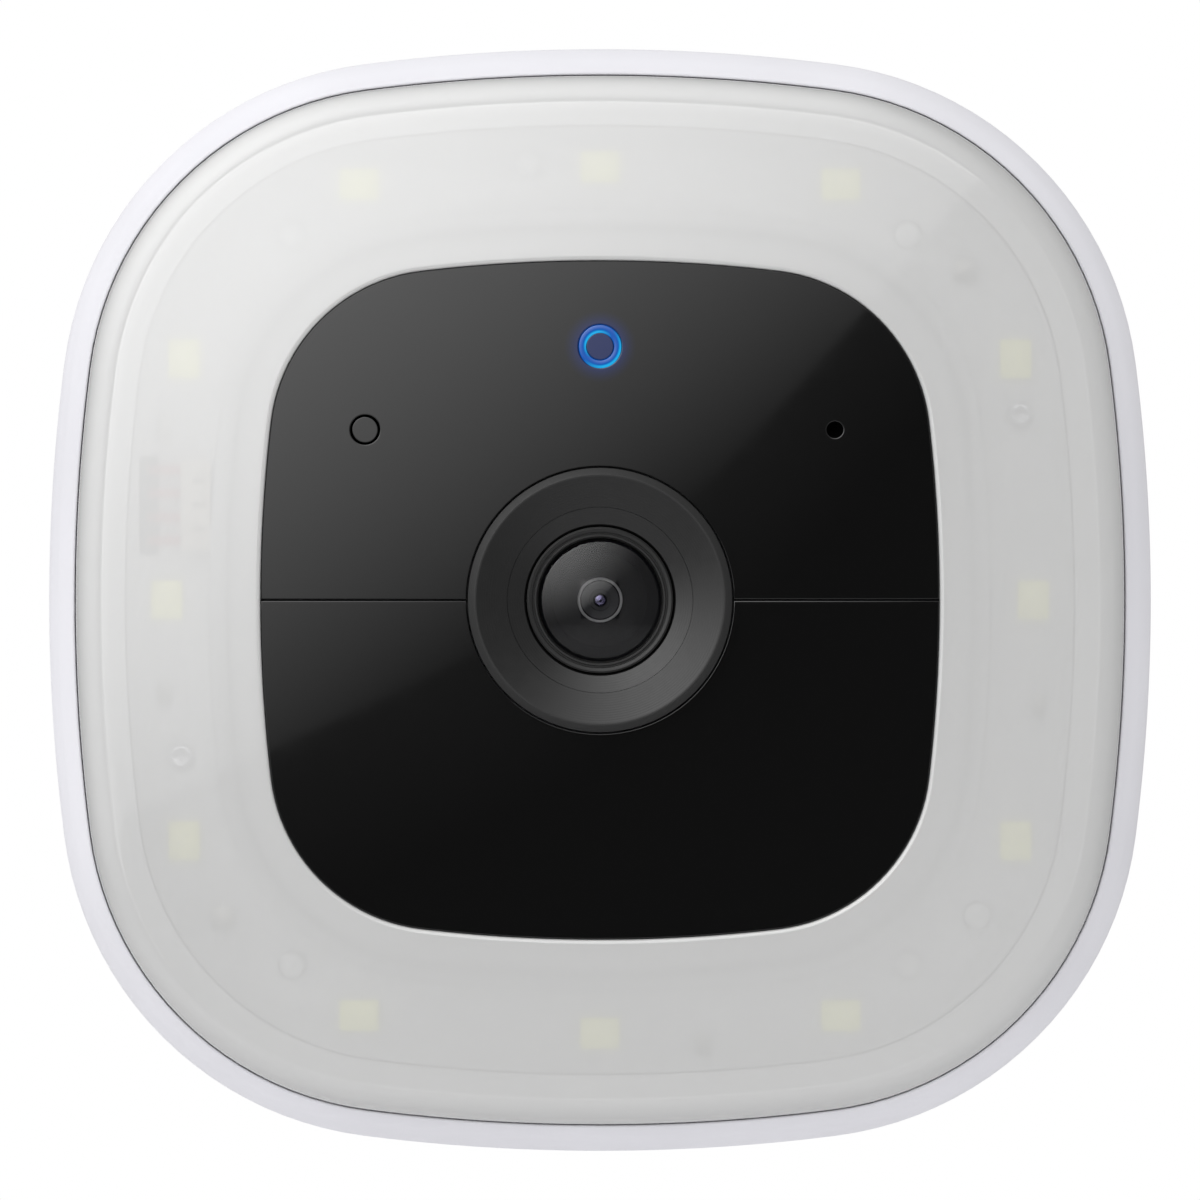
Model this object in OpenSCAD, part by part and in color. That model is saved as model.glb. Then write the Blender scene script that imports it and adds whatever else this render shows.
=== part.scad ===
// Battery floodlight security camera on a ball-joint wall bracket.
// Millimetres. +Z is up, the wall is the plane y = 0 and the camera looks along -Y.
// Each piece is drawn in a bench frame: x to the right, y up the front, z away from the wall.

/* [Head] */
// Width and height of the camera head
head_w = 100; // [100:1:108]
// Radius of the gently bowed sides of the head's outline
side_r = 169; // [160:1:190]
// Radius of the corners of the head's outline
corner_r = 31.4; // [30.5:0.1:32.5]
// Depth of the head from its flat back to the crown of the face
head_depth = 70; // [70:0.5:74]
// Radius of the domed front surface
dome_r = 630; // [500:10:900]
// Wall thickness of the rear housing
wall = 2.4; // [2:0.1:2.6]

/* [Face] */
// Width and height of the black face panel
face_w = 61.4; // [61:0.1:62]
// Side radius of the face panel's outline
face_side_r = 138; // [125:1:150]
// Corner radius of the face panel's outline
face_corner_r = 15.5; // [15:0.1:16.5]
// Radius of the hole around the lens bezel
lens_hole_r = 12.1; // [12.1:0.05:12.4]

/* [Floodlight] */
// Distance of the middle LED of each side from the lens axis
led_mid = 39.4; // [39:0.1:39.6]
// Distance of the outer LEDs of each side from the lens axis
led_row = 37.8; // [37.6:0.1:38.2]
// Spacing between the LEDs along a side
led_pitch = 21.9; // [21:0.1:22.2]

/* [Bracket] */
// Radius of the bracket's round wall plate
plate_r = 31; // [30.5:0.5:36]
// Radius of the ball
ball_r = 10; // [10:0.1:10.1]
// Diameter of the circle that the wall screw holes lie on
screw_pcd = 48; // [47:0.5:50]
// Radius of the wall screw holes
screw_hole_r = 2.25; // [2:0.05:2.5]

/* [Hidden] */

eps = 0.01;
head_half = head_w / 2;
face_half = face_w / 2;
side_steps = 3;   // segments in each half of a bowed side
corner_steps = 12; // segments in each corner arc

// bracket, measured out from the wall
ball_z = 22;
plate_t = 6;
post_r = 15;
cup_r = 12.4;
fit = 0.05;       // running clearance of the ball, the cup and the stud
collar_r = 18.5;
lip_polar = 63;   // the collar's lip meets the ball this far from the axis
neck_r = 3.4;
stud_r = 3.1;     // under the 6.35 mm camera thread
thread_r = 3.175;
head_z = ball_z + 25; // the head's flat back
max_lean = 41.4;  // 30 degrees of pan and 30 degrees of tilt together

// head, measured forward from its flat back
back_flat_r = 26;
bowl_depth = 58;  // depth of the ellipse that the housing's side follows
bowl_out = head_half - back_flat_r;
seam_h = 55;      // parting line between housing and bezel
back_plate_r = 24.1;
panel_t = 2;
diffuser_t = 2.2;
diffuser_crown = head_depth + 0.35;
panel_crown = head_depth;
edge_r = 2.6;     // rounding of the diffuser's outer edge
seam_gap = 0.25;
parting = 0.15;   // gap between housing and bezel
diffuser_half = head_half - 2.52;
lip_half = diffuser_half + seam_gap;
lip_crown = head_depth - 3.1;
seat_crown = head_depth - 8.1;

// floodlight ring
tray_h = 53;
board_h = 54.5;
board_t = 1.6;
chip_h = board_h + board_t;
tray_in = 35.4;
tray_out = 43.3;
pin_spots = [[28, 33.2], [-28, 33.2], [28, -33.2], [-28, -33.2], [-6.6, 39.7], [34.3, -28.7]];
board_screw_spots = [[38.2, 16.8], [-38.1, -14.3]];
connector_at = [-36.75, 8.6];
lead_x = -41;
lead_rows = [-3.2, -1.1, 1.1, 3.2];

// face details
status_y = 22.95;
side_dot = [21.25, 15.4];
infrared_spot = [11, 19.5];
pir_y = -19.5;
chassis_h = 46.5;
chassis_t = 2.5;
boss_at = 34;     // housing screw bosses, from both centre lines

// inside the housing
main_h = 40;
cell_r = 9.15;
cell_len = 65;
cell_pitch = 18.7;
cell_h = 24.6;
speaker_h = 31;
usb_y = -17;
button_at = [-15.5, -12.5];
flap_w = 16.4;
flap_top = -12.3;
flap_hinge_y = -21;
flap_t = 1.2;
flap_r = 1.4;

// ---------- outlines ----------

// A squircle is [half width, side radius, corner radius]. Its arcs meet tangentially.
function head_sq(a) = [a, side_r - head_half + a, corner_r - head_half + a];
function face_sq(a) = [a, face_side_r - face_half + a, face_corner_r - face_half + a];
function mix_sq(s, t, f) = s + (t - s) * f;

function quadrant(s) =
  let (k = s[0] - s[1],
       c = (k + sqrt(2 * pow(s[1] - s[2], 2) - k * k)) / 2,
       a = atan2(c, c - k),
       span = 90 - 2 * a)
  concat(
    [for (i = [0 : side_steps - 1]) let (t = a * i / side_steps) [k + s[1] * cos(t), s[1] * sin(t)]],
    [for (i = [0 : corner_steps]) let (t = a + span * i / corner_steps) [c + s[2] * cos(t), c + s[2] * sin(t)]],
    [for (i = [1 : side_steps - 1])
      let (t = 90 - a + a * i / side_steps) [s[1] * cos(t), k + s[1] * sin(t)]]);

function turned(p, q) = q == 0 ? p : turned([-p[1], p[0]], q - 1);
function outline(s) = [for (q = [0 : 3]) each [for (p = quadrant(s)) turned(p, q)]];
outline_n = 4 * (2 * side_steps + corner_steps);

function arc(cx, cy, r, from, to, n) =
  [for (i = [0 : n]) let (t = from + (to - from) * i / n) [cx + r * cos(t), cy + r * sin(t)]];

function rounded_rect(w, h, r, n = 4) = concat(
  arc(w / 2 - r, h / 2 - r, r, 0, 90, n), arc(r - w / 2, h / 2 - r, r, 90, 180, n),
  arc(r - w / 2, r - h / 2, r, 180, 270, n), arc(w / 2 - r, r - h / 2, r, 270, 360, n));

// Height lost at a point by a surface that follows the domed front.
function sag(p) = (p[0] * p[0] + p[1] * p[1]) / (2 * dome_r);

// ---------- building modules ----------

module on_wall() rotate([90, 0, 0]) children();
module in_head() rotate([90, 0, 0]) translate([0, 0, head_z]) children();

// A closed band whose section is a loop of rings, each [squircle, height, follows the dome].
module band(rings) {
  m = len(rings);
  n = outline_n;
  points = [for (r = rings) each [for (p = outline(r[0])) [p[0], p[1], r[1] - r[2] * sag(p)]]];
  faces = [for (i = [0 : m - 1]) for (j = [0 : n - 1])
    let (i2 = (i + 1) % m, j2 = (j + 1) % n)
    each [[i * n + j, i2 * n + j, i2 * n + j2], [i * n + j, i2 * n + j2, i * n + j2]]];
  polyhedron(points = points, faces = faces, convexity = 10);
}

module slab(s, h) linear_extrude(height = h) polygon(outline(s));
module ring(outer, inner, h) linear_extrude(height = h) difference() {
  polygon(outline(outer));
  polygon(outline(inner));
}
module box(w, d, h, r = 0.4) linear_extrude(height = h) polygon(rounded_rect(w, d, r));
module disc(r, h) cylinder(r = r, h = h, $fn = 64);
module tube(r, bore, h) difference() {
  disc(r, h);
  translate([0, 0, -eps]) disc(bore, h + 2 * eps);
}
module at(p, h = 0) translate([p[0], p[1], h]) children();
module mirrored_x() { children(); mirror([1, 0, 0]) children(); }
module four(p) for (x = [-1, 1]) for (y = [-1, 1]) translate([x * p[0], y * p[1], 0]) children();

// Everything under the domed front at a crown height.
module under_dome(crown) translate([0, 0, crown - dome_r]) sphere(r = dome_r, $fn = 480);

// A wire of radius r along points in the x-z plane.
module wire(path, r) {
  n = len(path);
  s = 8;
  heading = [for (i = [0 : n - 1])
    let (d = path[min(i + 1, n - 1)] - path[max(i - 1, 0)]) d / norm(d)];
  points = [for (i = [0 : n - 1]) for (j = [0 : s - 1])
    let (a = 360 * j / s)
    [path[i][0] - heading[i][1] * r * cos(a), r * sin(a), path[i][1] + heading[i][0] * r * cos(a)]];
  sides = [for (i = [0 : n - 2]) for (j = [0 : s - 1])
    let (j2 = (j + 1) % s)
    each [[i * s + j, i * s + j2, (i + 1) * s + j2], [i * s + j, (i + 1) * s + j2, (i + 1) * s + j]]];
  ends = [[for (j = [0 : s - 1]) s - 1 - j], [for (j = [0 : s - 1]) (n - 1) * s + j]];
  polyhedron(points = points, faces = concat(sides, ends), convexity = 6);
}

// ---------- wall bracket ----------

module wall_plate() color("whitesmoke") difference() {
  rotate_extrude($fn = 96) polygon([
    [0, 0], [plate_r - 1, 0], [plate_r, 1], [plate_r, 3.4], [plate_r - 1.4, plate_t - 1],
    [plate_r - 4, plate_t], [post_r + 3, plate_t], [post_r, plate_t + 3],
    [post_r, ball_z + 2], [0, ball_z + 2]]);
  translate([0, 0, ball_z]) sphere(r = cup_r + 0.1, $fn = 96);
  translate([0, 0, ball_z]) disc(cup_r + 0.1, 10);
  for (i = [0 : 3]) translate([0, 0, 12.2 + 2.6 * i]) tube(post_r + 1, post_r - 0.5, 1);
  for (a = [90, 210, 330]) rotate(a) translate([screw_pcd / 2, 0, 0]) {
    translate([0, 0, -eps]) disc(screw_hole_r, plate_t + 1);
    translate([0, 0, plate_t - 2.2]) cylinder(r1 = screw_hole_r, r2 = screw_hole_r + 2.3, h = 2.3, $fn = 64);
  }
}

module lock_collar() color("whitesmoke") difference() {
  seat_r = ball_r + fit;
  edge = [seat_r * sin(lip_polar), seat_r * cos(lip_polar)];
  front = edge + 4.6 * [sin(max_lean), cos(max_lean)];
  translate([0, 0, ball_z]) rotate_extrude($fn = 96) polygon([
    [post_r + 0.15, -12], [collar_r - 0.8, -12], [collar_r, -11.2], [collar_r, front[1] - 4.2],
    [collar_r - 3.4, front[1]], front, edge, [seat_r * sin(lip_polar) - 0.5, 2.2],
    [post_r + 0.15, 2.2]]);
  translate([0, 0, ball_z]) sphere(r = seat_r, $fn = 96);
  for (i = [0 : 23]) rotate(15 * i) translate([collar_r + 1.1, 0, ball_z - 10.4])
    cylinder(r = 1.9, h = 11.6, $fn = 32);
}

module friction_cup() color("silver") translate([0, 0, ball_z]) intersection() {
  difference() {
    sphere(r = cup_r, $fn = 96);
    sphere(r = ball_r + fit, $fn = 96);
  }
  rotate_extrude($fn = 96) polygon([
    20 * [sin(120), cos(120)], 20 * [sin(158), cos(158)], [3.6, -8], [8, -5]]);
}

module ball_stud() color("lightgrey") translate([0, 0, ball_z]) {
  difference() {
    sphere(r = ball_r, $fn = 96);
    translate([0, 0, -ball_r - 1]) disc(2.6, 2.6);
  }
  translate([0, 0, 9]) disc(neck_r, 9);
  translate([0, 0, 18 - eps]) disc(stud_r, 15);
}

module lock_nut() color("dimgrey") translate([0, 0, head_z - 5.1]) difference() {
  rotate_extrude($fn = 96) polygon([
    [stud_r + fit, 0], [8.2, 0], [9, 0.8], [9, 4.2], [8.4, 4.8], [stud_r + fit, 4.8]]);
  for (i = [0 : 15]) rotate(22.5 * i) translate([9.8, 0, -eps]) cylinder(r = 1.4, h = 6, $fn = 24);
}

// ---------- casing ----------

// The housing's side is a quarter ellipse from the flat back to the widest line.
function bowl_angle(h) = acos(1 - h / bowl_depth);
function bowl_half(t) = back_flat_r + bowl_out * sin(t);
function bowl_h(t) = bowl_depth * (1 - cos(t));
function bowl_normal(t) =
  let (n = [bowl_depth * sin(t), -bowl_out * cos(t)]) n / norm(n);
// The outline turns from a circle at the back into the full squircle.
function bowl_sq(t) =
  let (a = bowl_half(t), f = 0.05 + 0.95 * pow(sin(t), 1.5),
       side = 1 - head_half / side_r, corner = 1 - corner_r / head_half)
  [a, a / (1 - f * side), a * (1 - f * corner)];
bowl_end = bowl_angle(seam_h);
bowl_rings = 12;

function outer_ring(t) = [bowl_sq(t), bowl_h(t), 0];
function inner_ring(t) =
  let (d = wall * bowl_normal(t))
  [bowl_sq(t) - [d[0], d[0], d[0]], bowl_h(t) - d[1], 0];
back_hole = bowl_sq(0) - [1.7, 1.7, 1.7];

module speaker_frame(depth = 0) {
  t = bowl_angle(speaker_h);
  n = bowl_normal(t);
  translate([0, -bowl_half(t), speaker_h]) rotate([atan2(n[0], n[1]), 0, 0])
    translate([0, 0, -depth]) children();
}

module rear_housing() color("whitesmoke") difference() {
  union() {
    band(concat(
      [[back_hole, 0, 0]],
      [for (i = [0 : bowl_rings]) outer_ring(bowl_end * i / bowl_rings)],
      [for (i = [bowl_rings : -1 : 0]) inner_ring(bowl_end * i / bowl_rings)],
      [[back_hole, wall, 0]]));
    translate([0, 0, 34]) four([boss_at, boss_at]) cylinder(r = 3.5, h = chassis_h - 34.05, $fn = 32);
  }
  translate([0, 0, 36]) four([boss_at, boss_at]) cylinder(r = 1.3, h = 20, $fn = 32);
  speaker_frame(9) cylinder(r = 7, h = 14, $fn = 48);
}

module front_bezel() color("whitesmoke") band([
  [head_sq(47.1), 50.9, 0], [head_sq(47.1), seam_h + parting, 0],
  [head_sq(head_half - 0.05), seam_h + parting, 0], [head_sq(head_half), seam_h + 1.2, 0],
  [head_sq(head_half), lip_crown - 3.6, 1], [head_sq(head_half - 0.25), lip_crown - 2.8, 1],
  [head_sq(head_half - 1.2), lip_crown - 1.2, 1], [head_sq(lip_half + 0.35), lip_crown - 0.12, 1],
  [head_sq(lip_half + 0.15), lip_crown, 1], [head_sq(lip_half), lip_crown - 0.1, 1],
  [head_sq(lip_half), seat_crown, 1], [head_sq(45.6), seat_crown, 1], [head_sq(45.6), 50.9, 0]]);

module main_seal() color("dimgrey") translate([0, 0, chassis_h + chassis_t])
  ring(head_sq(46.1), head_sq(44.6), 1.9);

module back_plate() color("whitesmoke") difference() {
  union() {
    disc(back_plate_r, wall);
    translate([0, 0, wall + 0.1 - eps]) disc(25.6, 1.7);
    translate([0, 0, wall - 0.1]) disc(24, 0.4);
    translate([0, 0, 4]) disc(8.2, 6);
  }
  translate([0, 0, -eps]) disc(5.23, 12);
  // recess for the cover, its hinge groove with a sloped lip, a finger notch and the socket's opening
  translate([0, (flap_top + flap_hinge_y) / 2, -eps])
    box(flap_w + 0.4, flap_top - flap_hinge_y + 0.2, flap_t + 0.1, flap_r + 0.1);
  translate([-flap_w / 2 - 0.2, flap_hinge_y, flap_t / 2]) rotate([90, 0, 90])
    linear_extrude(height = flap_w + 0.4)
      polygon([[0.75, -1], [-1.15, -1], [-0.68, 0.3], [-0.45, 0.75], [0.75, 0.75]]);
  translate([0, flap_top + 0.2, -eps]) disc(2.2, 0.9);
  translate([0, usb_y, -eps]) box(10.4, 3.9, 6, 1.9);
  at(button_at, -eps) disc(3.12, 3.4);
  at(button_at, -eps) disc(1.7, 6);
}

module thread_insert() color("goldenrod") difference() {
  union() {
    translate([0, 0, 0.2]) disc(5.2, 9.6);
    translate([0, 0, 10.05]) cylinder(r = 7, h = 1.2, $fn = 6);
    translate([0, 0, 9]) disc(5.2, 1.2);
  }
  translate([0, 0, 0.2 - eps]) disc(thread_r, 9.4);
  translate([0, 0, 0.2 - eps]) cylinder(r1 = thread_r + 0.6, r2 = thread_r, h = 0.6, $fn = 64);
}

module chassis() color("dimgrey") difference() {
  union() {
    translate([0, 0, chassis_h]) slab(head_sq(46.1), chassis_t);
    translate([0, 0, chassis_h + chassis_t - eps]) ring(face_sq(38.6), face_sq(36.6), tray_h - chassis_h - chassis_t + eps);
    translate([0, 0, chassis_h + chassis_t - eps]) ring(head_sq(43), head_sq(42), tray_h - chassis_h - chassis_t + eps);
    translate([0, 0, main_h + 1.6]) four([28, 26]) disc(2, chassis_h - main_h - 1.5);
  }
  translate([0, 0, chassis_h - 1]) box(26, 26, 5, 3);
  translate([lead_x, connector_at[1], chassis_h - 1]) box(2, 10, 12, 0.5);
  translate([0, 0, chassis_h - 1]) four([boss_at, boss_at]) disc(1.5, 8);
  translate([0, 0, chassis_h + chassis_t]) four([boss_at, boss_at]) disc(3, 8);
  translate([22, 0, chassis_h - 1]) box(8, 20, 5, 2);
}

module housing_screws() color("silver") four([boss_at, boss_at]) difference() {
  union() {
    translate([0, 0, 37]) cylinder(r = 1.25, h = 12.1, $fn = 24);
    translate([0, 0, 49 + fit]) cylinder(r = 2.6, h = 1.9, $fn = 32);
  }
  translate([0, 0, 50]) cylinder(r = 1.1, h = 2, $fn = 6);
}

// ---------- floodlight ----------

module light_tray() color("white") difference() {
  union() {
    translate([0, 0, tray_h]) ring(head_sq(45.2), face_sq(33.7), board_h - tray_h);
    translate([0, 0, tray_h]) ring(face_sq(tray_in), face_sq(33.7), 66 - tray_h);
    translate([0, 0, tray_h]) ring(head_sq(45.2), head_sq(tray_out), 62.5 - tray_h);
    for (p = pin_spots) at(p, board_h - eps) rotate_extrude($fn = 40)
      polygon([[0, 0], [1.2, 0], [1.2, 2.2], [0.9, 2.5], [0, 2.6]]);
  }
  for (p = board_screw_spots) at(p, tray_h - 1) disc(0.75, 4);
  translate([lead_x, connector_at[1], tray_h - 1]) box(1.8, 9, 4, 0.5);
}

module led_board() color("ivory") translate([0, 0, board_h]) difference() {
  ring(head_sq(tray_out - 0.2), face_sq(tray_in + 0.2), board_t);
  for (p = pin_spots) at(p, -1) disc(1.28, 4);
  for (p = board_screw_spots) at(p, -1) disc(0.8, 4);
  translate([lead_x, connector_at[1], -1]) box(1.8, 9, 4, 0.5);
}

module led_chips() color("khaki") translate([0, 0, chip_h + fit])
  for (q = [0 : 3]) rotate(90 * q)
    for (p = [[led_mid, 0], [led_row, led_pitch], [led_row, -led_pitch]]) at(p) {
      box(2.8, 3.5, 0.5, 0.2);
      translate([0, 0, 0.5 - eps]) box(2.3, 3, 0.2, 0.3);
    }

module led_board_parts() color("tan") translate([0, 0, chip_h + fit]) {
  for (p = [[33.2, 29.9], [-34.3, -28.9]]) at(p) box(2, 2, 1.1, 0.2);
  for (p = [[-39.6, 15.6], [-39.6, -8.6], [39.9, -9.6], [9.4, -40.4]]) at(p) box(1.2, 2, 0.5, 0.1);
}

module led_board_screws() color("silver") for (p = board_screw_spots) at(p) difference() {
  union() {
    translate([0, 0, tray_h + 0.2]) cylinder(r = 0.7, h = 3.2, $fn = 24);
    translate([0, 0, chip_h + fit]) cylinder(r1 = 1.25, r2 = 1, h = 0.9, $fn = 32);
  }
  for (a = [0, 90]) rotate(a) translate([-0.75, -0.15, chip_h + 0.6]) cube([1.5, 0.3, 1]);
}

module led_connector() color("ivory") at(connector_at, chip_h + fit) difference() {
  box(2.7, 8.2, 2.6, 0.3);
  for (y = lead_rows) translate([-1.4, y, 1.3]) rotate([0, 90, 0]) disc(0.55, 2);
  for (y = [-2.2, 0, 2.2]) translate([-0.2, y - 0.25, 1.9]) cube([1.2, 0.5, 1]);
}

module led_lead() color("firebrick") for (y = lead_rows) translate([0, connector_at[1] + y, 0])
  wire(concat([[-37.8, 57.45]], arc(-39.5, 55.95, 1.5, 90, 180, 4), [[lead_x, 50]],
    arc(-39, 46.05, 2, 180, 270, 4), [[-33.1, 44.05]]), 0.4);

module diffuser() color("gainsboro", 0.75) {
  front_out = head_sq(diffuser_half - edge_r);
  front_in = face_sq(face_half + 1.1);
  under_out = head_sq(diffuser_half - 2.1);
  under_in = face_sq(33.3);
  crown = diffuser_crown;
  edge = [for (i = [0 : 5]) let (t = 18 * i)
    [head_sq(diffuser_half - edge_r * (1 - cos(t))), crown - edge_r * (1 - sin(t)), 1]];
  inner_edge = [for (i = [0 : 3]) let (t = 90 + 30 * i)
    [face_sq(face_half + 1.1 + cos(t)), crown - 1 + sin(t), 1]];
  band(concat(
    [[head_sq(diffuser_half), seat_crown + 0.1, 1]],
    edge,
    [for (f = [1, 2, 3]) [mix_sq(front_out, front_in, f / 4), crown, 1]],
    inner_edge,
    [[face_sq(face_half + 0.1), crown - 3.5, 1], [face_sq(32), crown - 3.5, 1],
     [under_in, crown - diffuser_t, 1]],
    [for (f = [1, 2, 3]) [mix_sq(under_in, under_out, f / 4), crown - diffuser_t, 1]],
    [[under_out, crown - diffuser_t - 1.4, 1], [under_out, seat_crown + 0.1, 1]]));
}

// ---------- face ----------

module face_frame() color("dimgrey") difference() {
  union() {
    translate([0, 0, chassis_h + chassis_t]) ring(face_sq(32.4), face_sq(30.9), 16.3);
    translate([0, 0, 64]) ring(face_sq(31.6), face_sq(29.6), 1.3);
    intersection() {
      translate([0, 0, 63.6]) slab(face_sq(face_half - 0.3), 6);
      under_dome(panel_crown - panel_t - fit);
    }
  }
  translate([0, 0, 60]) disc(lens_hole_r - 0.5, 10);
  at([0, status_y], 60) disc(2.2, 10);
  at([-side_dot[0], side_dot[1]], 60) disc(1.4, 10);
  at(side_dot, 60) disc(2.1, 10);
  mirrored_x() at(infrared_spot, 60) disc(2.7, 10);
  at([0, pir_y], 60) disc(5.4, 10);
}

module face_half_plate(upper) difference() {
  intersection() {
    translate([0, 0, 60]) slab(face_sq(face_half - 0.1), 12);
    under_dome(panel_crown);
    translate([-40, upper ? 0.1 : -40.1, 60]) cube([80, 40, 12]);
  }
  under_dome(panel_crown - panel_t);
  translate([0, 0, 60]) disc(lens_hole_r, 20);
}

module face_panel() color("black") difference() {
  face_half_plate(true);
  at([0, status_y], 60) disc(1.98, 20);
  at([-side_dot[0], side_dot[1]], 60) disc(1.36, 20);
  at(side_dot, 60) disc(0.75, 20);
}

module pir_window() color("black") face_half_plate(false);

module lens_bezel() color("dimgrey") rotate_extrude($fn = 128) polygon([
  [6.7, 64.4], [11.2, 64.4], [11.2, 68.05], [11.9, 68.4], [11.9, 69.95], [11.3, 70.7], [11.15, 70.7],
  [8.4, 69.75], [8.36, 69.62], [6.9, 69.1], [6.7, 68.9]]);

module lens_retainer() color("black") rotate_extrude($fn = 96) polygon([
  [5.6, 65.6], [6.6, 65.6], [6.6, 69], [6.45, 69.15], [6.15, 69.05], [6.1, 68.8], [5.95, 68.8],
  [5.9, 68.95], [5.75, 68.95], [5.6, 68.8]]);

module lens_barrel() color("black") difference() {
  union() {
    translate([0, 0, 49.4]) disc(6, 14.7);
    translate([0, 0, 64.1 - eps]) disc(6.6, 1.4);
  }
  translate([0, 0, 49]) disc(4.6, 20);
  translate([0, 0, 64.3]) disc(5.52, 5);
}

module front_lens() color("lightsteelblue", 0.4) difference() {
  union() {
    translate([0, 0, 65.6]) disc(5.5, 2.7);
    intersection() {
      translate([0, 0, 60]) disc(5.5, 12);
      translate([0, 0, 70 - 8.4]) sphere(r = 8.4, $fn = 96);
      translate([0, 0, 68]) disc(6, 3);
    }
  }
  translate([0, 0, 61.4]) sphere(r = 6, $fn = 96);
}

module aperture_plate() color("black") translate([0, 0, 64.4]) tube(5.45, 1.7, 0.6);
module aperture_ring() color("grey") translate([0, 0, 65.05]) tube(2.05, 1.8, 0.3);

module inner_lens() color("slateblue", 0.5) intersection() {
  translate([0, 0, 61]) disc(4.5, 3.3);
  translate([0, 0, 64.2 - 5]) sphere(r = 5, $fn = 64);
}

module lens_holder() color("black") translate([0, 0, 44.8 + fit]) difference() {
  union() {
    box(18, 18, 4.5, 1);
    translate([0, 0, 4.5 - eps]) disc(8.4, 5);
  }
  translate([0, 0, -1]) box(10, 10, 4, 0.5);
  translate([0, 0, 2]) disc(6.03, 10);
  mirrored_x() translate([7.4, 0, -1]) disc(0.7, 4);
}

module image_sensor() color("darkslategrey") translate([0, 0, 44.8 + fit]) {
  box(7.6, 6.6, 0.9, 0.2);
  translate([0, 0, 0.9 - eps]) box(6, 4.6, 0.2, 0.1);
}

module sensor_board() color("darkgreen") translate([0, 0, 43.6]) difference() {
  box(23, 23, 1.2, 1.5);
  four([10, 10]) translate([0, 0, -1]) disc(0.9, 4);
}

module status_ring() color("deepskyblue") at([0, status_y]) difference() {
  union() {
    intersection() {
      translate([0, 0, 66]) disc(1.93, 5);
      translate([0, -status_y, 0]) under_dome(panel_crown - 0.03);
    }
    translate([0, 0, 62.3]) disc(1.93, 4);
  }
  translate([0, 0, 67.8]) disc(1.28, 5);
}

module status_cap() color("black") at([0, status_y]) intersection() {
  translate([0, 0, 67.83]) disc(1.24, 5);
  translate([0, -status_y, 0]) under_dome(panel_crown);
}

module light_sensor_window() color("black") at([-side_dot[0], side_dot[1]]) intersection() {
  translate([0, 0, 62.3]) disc(1.16, 10);
  translate([side_dot[0], -side_dot[1], 0]) under_dome(panel_crown - 0.05);
}

module mic_boot() color("dimgrey") at(side_dot, 62.5) tube(1.95, 0.7, 4.6);

module face_board() color("darkgreen") translate([0, 18.8, 60]) difference() {
  box(50, 14, 1.2, 1.5);
  translate([0, -7, -1]) disc(4, 4);
  mirrored_x() translate([16.5, 2, -1]) disc(1.1, 4);
}

module face_board_parts() color("lightgrey") translate([0, 0, 61.2 + fit]) {
  at([0, status_y]) box(1.6, 1.6, 0.8, 0.1);
  at([-side_dot[0], side_dot[1]]) box(2, 2, 0.8, 0.1);
  at(side_dot) difference() {
    box(3, 3.8, 1.1, 0.1);
    translate([0, 0, 0.6]) disc(0.3, 2);
  }
  at([6, 14.4]) box(2.2, 2, 0.7, 0.1);
  at([-6, 23.8]) box(2.2, 1.4, 0.5, 0.1);
}

module infrared_leds() color("lightsteelblue") mirrored_x() at(infrared_spot, 61.2 + fit) {
  box(3.5, 3.5, 0.9, 0.2);
  intersection() {
    translate([0, 0, 0.8]) disc(1.5, 2);
    translate([0, 0, 0.2]) sphere(r = 2, $fn = 48);
  }
}

module pir_sensor() color("silver") at([0, pir_y], 58.2 + fit) difference() {
  union() {
    disc(4.7, 0.5);
    disc(4.1, 4.2);
  }
  translate([0, 0, 4]) box(4.6, 3.6, 1, 0.3);
}

module pir_board() color("darkgreen") at([0, pir_y], 57) difference() {
  box(17, 13, 1.2, 1);
  mirrored_x() translate([6.8, 0, -1]) disc(0.9, 4);
}

// ---------- electronics and power ----------

module main_board() color("darkgreen") translate([0, 0, main_h]) difference() {
  box(64, 58, 1.6, 2);
  four([28, 26]) translate([0, 0, -1]) disc(1.1, 4);
}

module main_board_parts() color("silver") {
  translate([0, 0, main_h - 2 - fit]) box(27, 25, 2, 0.6);
  at([20, 4], main_h - 1.2 - fit) box(9, 12, 1.2, 0.2);
  at([-21, -8], main_h - 1.5 - fit) box(8, 8, 1.5, 0.2);
  at([0, 8.4], main_h + 1.6 + fit) box(12, 3, 1.8, 0.3);
  at([-30.4, connector_at[1]], main_h + 1.6 + fit) box(3, 10, 3.6, 0.3);
  at([20, 25.8], main_h + 1.6 + fit) box(7, 4.2, 3, 0.3);
  at([18, -18], main_h + 1.6 + fit) box(10, 8, 1.4, 0.2);
}

module wifi_antenna() color("orange") translate([0, 40.4, 22]) rotate([-10, 0, 0]) {
  translate([-15, 0, 0]) cube([30, 0.3, 7]);
  for (x = [-13, -7, -1, 5, 11]) translate([x, -0.1, 1]) cube([2, 0.1 + eps, 5]);
}

module battery_cells() color("steelblue") for (i = [-1, 0, 1])
  translate([i * cell_pitch, cell_len / 2, cell_h]) rotate([90, 0, 0]) {
    disc(cell_r, cell_len);
    translate([0, 0, -0.6]) disc(3, 1.2);
  }

module battery_tray() color("dimgrey") {
  translate([0, 0, cell_h + cell_r + 0.1]) box(58, 70.6, 1.5, 2);
  difference() {
    for (s = [-1, 1]) translate([0, s * 34.2, cell_h - 5.8]) linear_extrude(height = 16.6)
      square([50, 1.6], center = true);
    // slot for the lead
    translate([20, 34.2, 28]) cube([4.6, 4, 2.4], center = true);
  }
  for (x = [-0.5, 0.5]) translate([x * cell_pitch, 0, cell_h + 5.2])
    linear_extrude(height = 4.2) square([1.2, 58], center = true);
}

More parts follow.
